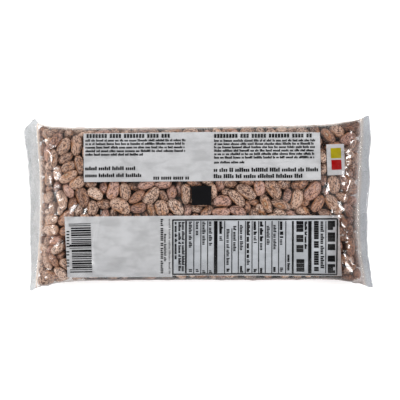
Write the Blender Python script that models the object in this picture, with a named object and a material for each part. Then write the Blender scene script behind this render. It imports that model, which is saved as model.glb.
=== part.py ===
"""Pillow bag of dried beans, lying flat with its back face up.

One closed solid: the filled body of the bag, domed above and flat below, with
steep shoulders down to a thin crimped seal across each end. Metres, +Z up,
+X along the bag, origin at the middle of the face it rests on.
"""

from math import cos, exp, pi, sin, tau

import bmesh
import bpy

# ---- driving dimensions, in metres ----------------------------------------
LENGTH = 0.2336  # over both end seals, between the lines their edges wander about
BODY_HALF_WIDTH = 0.0526  # half the width across the filled middle
TAPER = 0.0065  # how much wider the far side gets for each metre along X
THICKNESS = 0.0330  # of the filled middle, as it lies
END_SLUMP = 0.0022  # how much lower the fill lies near the ends
LUMP = 0.0006  # unevenness of the fill under the film
LUMP_PITCH = 0.0330  # distance from one rise to the next
SEAL_DEPTH = 0.0068  # of each end seal, along the bag
SEAL_THICKNESS = 0.0011  # the two films with their crimp
SEAL_HEIGHT = 0.0095  # of the seals above the ground
SIDE_HEIGHT = 0.0140  # of the widest line of the filled middle
TOP_SHOULDER = 0.0230  # length over which the top rises from a seal
BASE_SHOULDER = 0.0120  # length over which the base rises to a seal
TOP_EXPONENT = 2.55  # squareness of the section's upper half
BASE_EXPONENT = 3.10  # squareness of its lower half
SEAL_EXPONENT = 7.0  # squareness of the flat strip at a seal
BASE_PRESS = 0.0016  # how far the weight flattens the base
PUCKER = 0.0007  # height of the folds that run in from a seal
PUCKER_PITCH = 0.0145  # distance from one fold to the next
PUCKER_REACH = 0.0150  # how far they run in

# Each corner of the flat film stands out past the filled middle. A flare is
# the extra half width at the seal, the share of it that dies away first, and
# the two lengths over which the shares die away.
FLARES = {
    ("left", "far"): (0.0072, 0.85, 0.0090, 0.0200),
    ("left", "near"): (0.0069, 0.60, 0.0090, 0.0260),
    ("right", "far"): (0.0068, 0.48, 0.0060, 0.0230),
    ("right", "near"): (0.0057, 0.75, 0.0100, 0.0180),
}

# The bag's end edges and the inner lines of its seals wander. Each table gives
# places along Y and the line's X there.
LEFT_EDGE = (
    (0.058, -0.1172),
    (0.050, -0.1189),
    (0.042, -0.1181),
    (0.034, -0.1166),
    (0.026, -0.1159),
    (0.018, -0.1156),
    (0.010, -0.1148),
    (0.002, -0.1144),
    (-0.006, -0.1146),
    (-0.014, -0.1148),
    (-0.022, -0.1149),
    (-0.030, -0.1148),
    (-0.038, -0.1145),
    (-0.046, -0.1143),
    (-0.054, -0.1148),
    (-0.060, -0.1154),
)
LEFT_SEAL_LINE = (
    (0.058, -0.1106),
    (0.040, -0.1094),
    (0.025, -0.1082),
    (0.005, -0.1076),
    (-0.015, -0.1082),
    (-0.035, -0.1094),
    (-0.050, -0.1108),
    (-0.060, -0.1116),
)
RIGHT_EDGE = (
    (0.060, 0.1166),
    (0.052, 0.1173),
    (0.044, 0.1178),
    (0.036, 0.1172),
    (0.028, 0.1160),
    (0.020, 0.1169),
    (0.012, 0.1170),
    (0.004, 0.1150),
    (-0.004, 0.1143),
    (-0.012, 0.1154),
    (-0.020, 0.1143),
    (-0.028, 0.1150),
    (-0.036, 0.1154),
    (-0.044, 0.1168),
    (-0.052, 0.1176),
    (-0.059, 0.1190),
)
RIGHT_SEAL_LINE = (
    (0.060, 0.1116),
    (0.044, 0.1108),
    (0.028, 0.1096),
    (0.010, 0.1090),
    (-0.008, 0.1080),
    (-0.025, 0.1086),
    (-0.040, 0.1098),
    (-0.052, 0.1122),
    (-0.060, 0.1136),
)
EDGE_SPREAD = 0.0055  # how far each place of an edge's table reaches along Y
LINE_SPREAD = 0.0110  # the same for a seal's inner line
FADE = 0.0260  # how far into the bag the wandering is felt
CORNER_TUCK = 0.0026  # how far one cut corner steps back from the edge
TUCK_PLACE = 0.0586  # of that corner along Y

# ---- mesh density ----------------------------------------------------------
RING_POINTS = 64  # round one section, a multiple of 4
MIDDLE_SECTIONS = 22
SHOULDER_SECTIONS = 9  # at each end
SEAL_SECTIONS = 3  # at each end

FILM_COLOUR = (0.56, 0.40, 0.30, 1.0)


def clear_scene():
    for ob in list(bpy.data.objects):
        bpy.data.objects.remove(ob, do_unlink=True)


def signed_power(value, power):
    return abs(value) ** power * (1.0 if value >= 0.0 else -1.0)


def die_away(distance, share, first, second):
    """1 at the bag's end, falling to 0 along the bag in two lengths."""
    near = exp(-((max(distance, 0.0) / first) ** 1.6))
    far = exp(-((max(distance, 0.0) / second) ** 2.0))
    return share * near + (1.0 - share) * far


def half_width(x, side):
    """Distance from the bag's middle line to its long side, at x."""
    reach = BODY_HALF_WIDTH + (TAPER * x if side == "far" else 0.0)
    for end, sign in (("left", -1.0), ("right", 1.0)):
        flare, share, first, second = FLARES[(end, side)]
        distance = LENGTH / 2.0 - sign * x
        reach += flare * die_away(distance, share, first, second)
    return reach


def from_seal(x):
    """Distance from x to the nearer seal's inner line, negative in a seal."""
    return LENGTH / 2.0 - SEAL_DEPTH - abs(x)


def rise(distance, length):
    """0 at the seal's inner line, 1 past the shoulder, steep at first."""
    part = min(max(distance / length, 0.0), 1.0)
    return (1.0 - (1.0 - part) ** 2.2) ** (1.0 / 2.0)


def pucker(x, y):
    """Height of the folds that fan out from a seal."""
    distance = from_seal(x)
    reach = 1.0 if distance < 0.0 else exp(-((distance / PUCKER_REACH) ** 1.5))
    phase = 0.7 if x < 0.0 else 2.1
    wave = 0.62 * sin(tau * y / PUCKER_PITCH + phase)
    wave += 0.38 * sin(tau * y / (PUCKER_PITCH * 0.61) + 2.3 * phase)
    return PUCKER * reach * wave


def lump(x, y):
    """Uneven height of the fill, nothing at the seals."""
    inward = rise(from_seal(x), TOP_SHOULDER) ** 2.0
    wave = sin(tau * x / LUMP_PITCH + 1.1 + 1.6 * sin(tau * y / 0.083))
    wave *= sin(tau * y / (1.2 * LUMP_PITCH) + 0.5 + 1.2 * sin(tau * x / 0.131))
    slump = END_SLUMP * (x / (LENGTH / 2.0 - SEAL_DEPTH - TOP_SHOULDER)) ** 2.0
    return inward * (LUMP * (wave - 1.0) - slump)


def line_at(table, y, spread):
    """A wandering line's X at y, from the table's places near it."""
    total = weights = 0.0
    for place, value in table:
        weight = exp(-(((y - place) / spread) ** 2.0)) + 1e-9
        total += weight * value
        weights += weight
    return total / weights


def end_shift(x, y):
    """How far a point moves along X because an end's edge and seal wander."""
    shift = 0.0
    for sign, edge, line in (
        (-1.0, LEFT_EDGE, LEFT_SEAL_LINE),
        (1.0, RIGHT_EDGE, RIGHT_SEAL_LINE),
    ):
        distance = max(LENGTH / 2.0 - sign * x, 0.0)
        outer = line_at(edge, y, EDGE_SPREAD) - sign * LENGTH / 2.0
        inner = line_at(line, y, LINE_SPREAD) - sign * (LENGTH / 2.0 - SEAL_DEPTH)
        part = min(distance / SEAL_DEPTH, 1.0)
        fade = exp(-((max(distance - SEAL_DEPTH, 0.0) / FADE) ** 2.0))
        shift += ((1.0 - part) * outer + part * inner) * fade
        if sign < 0.0:  # this end's far corner is cut back a little
            tuck = exp(-(((y - TUCK_PLACE) / 0.0040) ** 2.0))
            shift += exp(-((distance / 0.0080) ** 2.0)) * CORNER_TUCK * tuck
    return shift


def section_point(x, angle):
    """The bag's surface at section x; angle 0 is the far side, 90 degrees the top."""
    side = "far" if cos(angle) >= 0.0 else "near"
    flat = from_seal(x)
    top_rise = rise(flat, TOP_SHOULDER)
    base_rise = rise(flat, BASE_SHOULDER)
    half_seal = SEAL_THICKNESS / 2.0
    middle = SEAL_HEIGHT + (SIDE_HEIGHT - SEAL_HEIGHT) * top_rise
    upper = half_seal + (THICKNESS - SIDE_HEIGHT - half_seal) * top_rise
    lower = half_seal + (SIDE_HEIGHT + BASE_PRESS - half_seal) * base_rise
    if base_rise >= 0.999:
        lower = middle + BASE_PRESS
    squareness = TOP_EXPONENT if sin(angle) >= 0.0 else BASE_EXPONENT
    squareness = SEAL_EXPONENT + (squareness - SEAL_EXPONENT) * top_rise**0.6
    power = 2.0 / squareness
    y = half_width(x, side) * signed_power(cos(angle), power)
    up = signed_power(sin(angle), power)
    z = middle + (upper if up >= 0.0 else lower) * up + pucker(x, y)
    if up > 0.0:
        z += up * lump(x, y)
    return x + end_shift(x, y), y, max(z, 0.0)


def section_places():
    """X of each section, close together where the shape turns fastest."""
    half = LENGTH / 2.0
    seal_line = half - SEAL_DEPTH
    shoulder_end = seal_line - TOP_SHOULDER * 1.25
    places = [half - SEAL_DEPTH * i / SEAL_SECTIONS for i in range(SEAL_SECTIONS)]
    for i in range(SHOULDER_SECTIONS):
        part = (i / SHOULDER_SECTIONS) ** 1.7
        places.append(seal_line + (shoulder_end - seal_line) * part)
    right = sorted(places)
    middle = [
        shoulder_end * (2.0 * i / (MIDDLE_SECTIONS - 1) - 1.0)
        for i in range(MIDDLE_SECTIONS)
    ]
    return [-x for x in reversed(right)] + middle + right


def make_material(name, colour, roughness, metallic):
    material = bpy.data.materials.new(name)
    material.use_nodes = True
    shader = material.node_tree.nodes["Principled BSDF"]
    shader.inputs["Base Color"].default_value = colour
    shader.inputs["Roughness"].default_value = roughness
    shader.inputs["Metallic"].default_value = metallic
    material.diffuse_color = colour
    return material


def make_bag():
    bm = bmesh.new()
    rings = []
    for x in section_places():
        angles = [tau * i / RING_POINTS for i in range(RING_POINTS)]
        rings.append([bm.verts.new(section_point(x, angle)) for angle in angles])
    # the origin goes to the middle of the box round the bag
    for axis in (0, 1):
        low = min(vert.co[axis] for vert in bm.verts)
        high = max(vert.co[axis] for vert in bm.verts)
        for vert in bm.verts:
            vert.co[axis] -= (low + high) / 2.0
    # skin between neighbouring sections
    for here, there in zip(rings, rings[1:]):
        for i in range(RING_POINTS):
            j = (i + 1) % RING_POINTS
            bm.faces.new((here[i], here[j], there[j], there[i]))
    # the cut ends of the seals: strips from the upper film to the lower one
    half = RING_POINTS // 2
    for ring in (rings[0], rings[-1]):
        for i in range(half):
            top, top_next = ring[i], ring[i + 1]
            low, low_next = ring[-i % RING_POINTS], ring[-(i + 1) % RING_POINTS]
            corners = []
            for vert in (top, top_next, low_next, low):
                if vert not in corners:
                    corners.append(vert)
            bm.faces.new(corners)
    bmesh.ops.recalc_face_normals(bm, faces=bm.faces)
    if bm.calc_volume(signed=True) < 0.0:
        bmesh.ops.reverse_faces(bm, faces=bm.faces)
    mesh = bpy.data.meshes.new("bag")
    bm.to_mesh(mesh)
    bm.free()
    mesh.materials.append(make_material("bag_film", FILM_COLOUR, 0.25, 0.0))
    mesh.shade_smooth()
    mesh.set_sharp_from_angle(angle=pi / 4.0)
    bag = bpy.data.objects.new("bag", mesh)
    bpy.context.scene.collection.objects.link(bag)
    return bag


clear_scene()
make_bag()
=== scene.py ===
import math

import bpy
import numpy as np
from mathutils import Matrix, Vector
from mathutils.bvhtree import BVHTree


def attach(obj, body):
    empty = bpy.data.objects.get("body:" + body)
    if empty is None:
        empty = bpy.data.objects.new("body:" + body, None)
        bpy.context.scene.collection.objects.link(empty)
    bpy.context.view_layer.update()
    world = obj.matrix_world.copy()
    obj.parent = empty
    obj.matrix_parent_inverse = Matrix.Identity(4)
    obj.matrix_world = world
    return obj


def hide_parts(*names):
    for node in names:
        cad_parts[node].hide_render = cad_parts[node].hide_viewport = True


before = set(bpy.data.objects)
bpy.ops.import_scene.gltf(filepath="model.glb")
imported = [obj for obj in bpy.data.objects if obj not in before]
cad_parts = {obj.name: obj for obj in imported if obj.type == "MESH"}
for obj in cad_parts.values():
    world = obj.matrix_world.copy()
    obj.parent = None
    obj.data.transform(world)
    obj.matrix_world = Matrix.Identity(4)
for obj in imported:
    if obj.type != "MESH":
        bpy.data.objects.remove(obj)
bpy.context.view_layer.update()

# A clear pillow bag of dried speckled beans, lying on its printed front. The
# beans are loose pieces at true size, settled into the bag's shape. The film
# is one sheet drawn over them, and the print lies just under its surface.
# Lengths are in millimetres up to the meshes, which are in metres.

# ---------------------------------------------------------------------------
# The bag's own shape, as the CAD has it
# ---------------------------------------------------------------------------
LENGTH = 233.6
HALF_WIDTH = 52.6
TAPER = 0.0065
THICKNESS = 33.0
END_SLUMP = 2.2
LUMP, LUMP_PITCH = 0.6, 33.0
SEAL_DEPTH = 6.8
SEAL_THICKNESS = 0.30
SEAL_HEIGHT = 9.5
SIDE_HEIGHT = 14.0
TOP_SHOULDER, BASE_SHOULDER = 23.0, 12.0
TOP_EXPONENT, BASE_EXPONENT, SEAL_EXPONENT = 2.55, 3.10, 7.0
BASE_PRESS = 1.6
PUCKER, PUCKER_PITCH, PUCKER_REACH = 0.7, 14.5, 15.0
FLARES = {
    (-1, "far"): (7.2, 0.85, 9.0, 20.0),
    (-1, "near"): (6.9, 0.60, 9.0, 26.0),
    (1, "far"): (6.8, 0.48, 6.0, 23.0),
    (1, "near"): (5.7, 0.75, 10.0, 18.0),
}
# X of each end's cut edge and of its seal's inner line, from place to place along Y
EDGES = {
    -1: (
        (58, -117.2), (50, -118.9), (42, -118.1), (34, -116.6), (26, -115.9),
        (18, -115.6), (10, -114.8), (2, -114.4), (-6, -114.6), (-14, -114.8),
        (-22, -114.9), (-30, -114.8), (-38, -114.5), (-46, -114.3), (-54, -114.8),
        (-60, -115.4),
    ),
    1: (
        (60, 116.6), (52, 117.3), (44, 117.8), (36, 117.2), (28, 116.0),
        (20, 116.9), (12, 117.0), (4, 115.0), (-4, 114.3), (-12, 115.4),
        (-20, 114.3), (-28, 115.0), (-36, 115.4), (-44, 116.8), (-52, 117.6),
        (-59, 119.0),
    ),
}
SEAL_LINES = {
    -1: (
        (58, -110.6), (40, -109.4), (25, -108.2), (5, -107.6), (-15, -108.2),
        (-35, -109.4), (-50, -110.8), (-60, -111.6),
    ),
    1: (
        (60, 111.6), (44, 110.8), (28, 109.6), (10, 109.0), (-8, 108.0),
        (-25, 108.6), (-40, 109.8), (-52, 112.2), (-60, 113.6),
    ),
}
EDGE_SPREAD, LINE_SPREAD, FADE = 5.5, 11.0, 26.0
CORNER_TUCK, TUCK_PLACE = 4.2, 58.6
TAU = math.tau


def powered(v, p):
    return np.sign(v) * np.abs(v) ** p


def die_away(d, share, first, second):
    d = np.maximum(d, 0.0)
    return share * np.exp(-((d / first) ** 1.6)) + (1 - share) * np.exp(
        -((d / second) ** 2)
    )


def half_width(x, side):
    reach = HALF_WIDTH + (TAPER if side == "far" else 0.0) * x
    for sign in (-1, 1):
        flare, share, first, second = FLARES[(sign, side)]
        reach = reach + flare * die_away(LENGTH / 2 - sign * x, share, first, second)
    return reach


def from_seal(x):
    return LENGTH / 2 - SEAL_DEPTH - np.abs(x)


def rise(d, length):
    part = np.clip(d / length, 0.0, 1.0)
    return np.sqrt(1 - (1 - part) ** 2.2)


def pucker(x, y):
    d = from_seal(x)
    reach = np.where(d < 0, 1.0, np.exp(-((np.maximum(d, 0) / PUCKER_REACH) ** 1.5)))
    phase = np.where(x < 0, 0.7, 2.1)
    wave = 0.62 * np.sin(TAU * y / PUCKER_PITCH + phase)
    wave = wave + 0.38 * np.sin(TAU * y / (PUCKER_PITCH * 0.61) + 2.3 * phase)
    return PUCKER * reach * wave


def lump(x, y):
    inward = rise(from_seal(x), TOP_SHOULDER) ** 2
    wave = np.sin(TAU * x / LUMP_PITCH + 1.1 + 1.6 * np.sin(TAU * y / 83.0))
    wave = wave * np.sin(
        TAU * y / (1.2 * LUMP_PITCH) + 0.5 + 1.2 * np.sin(TAU * x / 131.0)
    )
    slump = END_SLUMP * (x / (LENGTH / 2 - SEAL_DEPTH - TOP_SHOULDER)) ** 2
    return inward * (LUMP * (wave - 1) - slump)


def line_at(table, y, spread):
    total, weights = np.zeros_like(y), np.zeros_like(y)
    for place, value in table:
        weight = np.exp(-(((y - place) / spread) ** 2)) + 1e-9
        total, weights = total + weight * value, weights + weight
    return total / weights


def end_shift(x, y):
    shift = np.zeros_like(x)
    for sign in (-1, 1):
        d = np.maximum(LENGTH / 2 - sign * x, 0.0)
        outer = line_at(EDGES[sign], y, EDGE_SPREAD) - sign * LENGTH / 2
        inner = line_at(SEAL_LINES[sign], y, LINE_SPREAD)
        inner = inner - sign * (LENGTH / 2 - SEAL_DEPTH)
        part = np.minimum(d / SEAL_DEPTH, 1.0)
        fade = np.exp(-((np.maximum(d - SEAL_DEPTH, 0.0) / FADE) ** 2))
        shift = shift + ((1 - part) * outer + part * inner) * fade
        if sign < 0:
            tuck = np.exp(-(((y - TUCK_PLACE) / 4.0) ** 2))
            shift = shift + np.exp(-((d / 8.0) ** 2)) * CORNER_TUCK * tuck
    return shift


def section(x, angle):
    """Points of the bag's surface, in mm, for arrays of x and angle of one shape."""
    far = np.cos(angle) >= 0
    flat = from_seal(x)
    top_rise, base_rise = rise(flat, TOP_SHOULDER), rise(flat, BASE_SHOULDER)
    half_seal = SEAL_THICKNESS / 2
    middle = SEAL_HEIGHT + (SIDE_HEIGHT - SEAL_HEIGHT) * top_rise
    upper = half_seal + (THICKNESS - SIDE_HEIGHT - half_seal) * top_rise
    lower = half_seal + (SIDE_HEIGHT + BASE_PRESS - half_seal) * base_rise
    lower = np.where(base_rise >= 0.999, middle + BASE_PRESS, lower)
    squareness = np.where(np.sin(angle) >= 0, TOP_EXPONENT, BASE_EXPONENT)
    squareness = SEAL_EXPONENT + (squareness - SEAL_EXPONENT) * top_rise**0.6
    power = 2 / squareness
    reach = np.where(far, half_width(x, "far"), half_width(x, "near"))
    y = reach * powered(np.cos(angle), power)
    up = powered(np.sin(angle), power)
    z = middle + np.where(up >= 0, upper, lower) * up + pucker(x, y)
    z = z + np.where(up > 0, up * lump(x, y), 0.0)
    return np.stack([x + end_shift(x, y), y, np.maximum(z, 0.0)], -1)


def even_rings(xs, above, below):
    """Rings of points an even way apart round the film, far side first, then the top."""
    fine = np.linspace(0, TAU, 961)
    gx, ga = np.meshgrid(xs, fine, indexing="ij")
    line = section(gx, ga)
    out = np.empty((len(xs), above + below, 3))
    for i in range(len(xs)):
        for first, last, start, count in ((0, 480, 0, above), (480, 960, above, below)):
            part = line[i, first : last + 1]
            step = np.linalg.norm(np.diff(part, axis=0), axis=1)
            way = np.concatenate([[0], np.cumsum(step)])
            want = np.linspace(0, way[-1], count + 1)[:-1]
            for k in range(3):
                out[i, start : start + count, k] = np.interp(want, way, part[:, k])
    return out


def placed(points, shift):
    return points - shift


def bag_shift():
    xs = np.linspace(-LENGTH / 2, LENGTH / 2, 400)
    gx, ga = np.meshgrid(xs, np.linspace(0, TAU, 257), indexing="ij")
    p = section(gx, ga).reshape(-1, 3)
    mid = (p.min(0) + p.max(0)) / 2
    return np.array([mid[0], mid[1], 0.0])


SHIFT = bag_shift()

# the camera, straight above, and the photograph's frame of 400 by 400 pixels
PIXEL = 0.68  # mm of the bag's outline to one pixel
EYE = np.array([1.0, 2.0, 1100.0])
ROLL = math.radians(0.28)
OUTLINE_HEIGHT = 12.0
PER_PIXEL = PIXEL / (EYE[2] - OUTLINE_HEIGHT)


def to_pixel(p):
    """Where the photograph shows points given in mm."""
    d = p - EYE
    dx, dy = d[..., 0] / -d[..., 2], d[..., 1] / -d[..., 2]
    c, s = math.cos(ROLL), math.sin(ROLL)
    return 200 + (dx * c - dy * s) / PER_PIXEL, 200 - (dx * s + dy * c) / PER_PIXEL


# ---------------------------------------------------------------------------
# Meshes from arrays
# ---------------------------------------------------------------------------
def grid_faces(rows, cols, wrap):
    i = np.arange(rows - 1)[:, None]
    j = np.arange(cols if wrap else cols - 1)[None, :]
    k = (j + 1) % cols
    a, b = i * cols + j, i * cols + k
    return np.stack([a, b, b + cols, a + cols], -1).reshape(-1, 4)


def make_mesh(name, verts, loops, sizes, material_index=None):
    """A mesh from points in mm, its faces' corners in a row, and each face's corner count."""
    me = bpy.data.meshes.new(name)
    me.vertices.add(len(verts))
    me.vertices.foreach_set("co", np.ascontiguousarray(verts * 0.001, "f").ravel())
    me.loops.add(len(loops))
    me.loops.foreach_set("vertex_index", np.asarray(loops, "i"))
    me.polygons.add(len(sizes))
    starts = np.concatenate([[0], np.cumsum(sizes)[:-1]])
    me.polygons.foreach_set("loop_start", np.asarray(starts, "i"))
    if material_index is not None:
        me.polygons.foreach_set("material_index", np.asarray(material_index, "i"))
    me.update(calc_edges=True)
    me.validate()
    me.shade_smooth()
    return me


def give_map(mesh, places):
    """A flat map for baking, one place for each corner of each face."""
    if len(places) == len(mesh.loops):
        layer = mesh.uv_layers.new(name="OFBake")
        layer.uv.foreach_set("vector", np.ascontiguousarray(places, "f").ravel())


def grid_map(i, j, rows, cols):
    """The corners' places of faces i, j of a grid laid flat, for grid_faces."""
    u = np.stack([i, i, i + 1, i + 1], 1) / (rows - 1)
    v = np.stack([j, j + 1, j + 1, j], 1) / cols
    return np.stack([u, v], -1).reshape(-1, 2)


def add_piece(name, mesh, materials):
    for m in materials:
        mesh.materials.append(m)
    ob = bpy.data.objects.new(name, mesh)
    bpy.context.scene.collection.objects.link(ob)
    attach(ob, "root")
    return ob


def tree_of(points, faces):
    return BVHTree.FromPolygons(points.tolist(), faces.tolist(), epsilon=0.0)


# ---------------------------------------------------------------------------
# The beans: sizes, and how they settle in the bag
# ---------------------------------------------------------------------------
BEANS = 1140
BEAN_LENGTH, BEAN_WIDTH, BEAN_THICKNESS = 12.8, 8.3, 6.1
WALL_GAP = 0.75  # between the beans and the CAD's surface
FILLER_DEPTH = 1.7  # how much deeper the other beans lie where the film is clear

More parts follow.
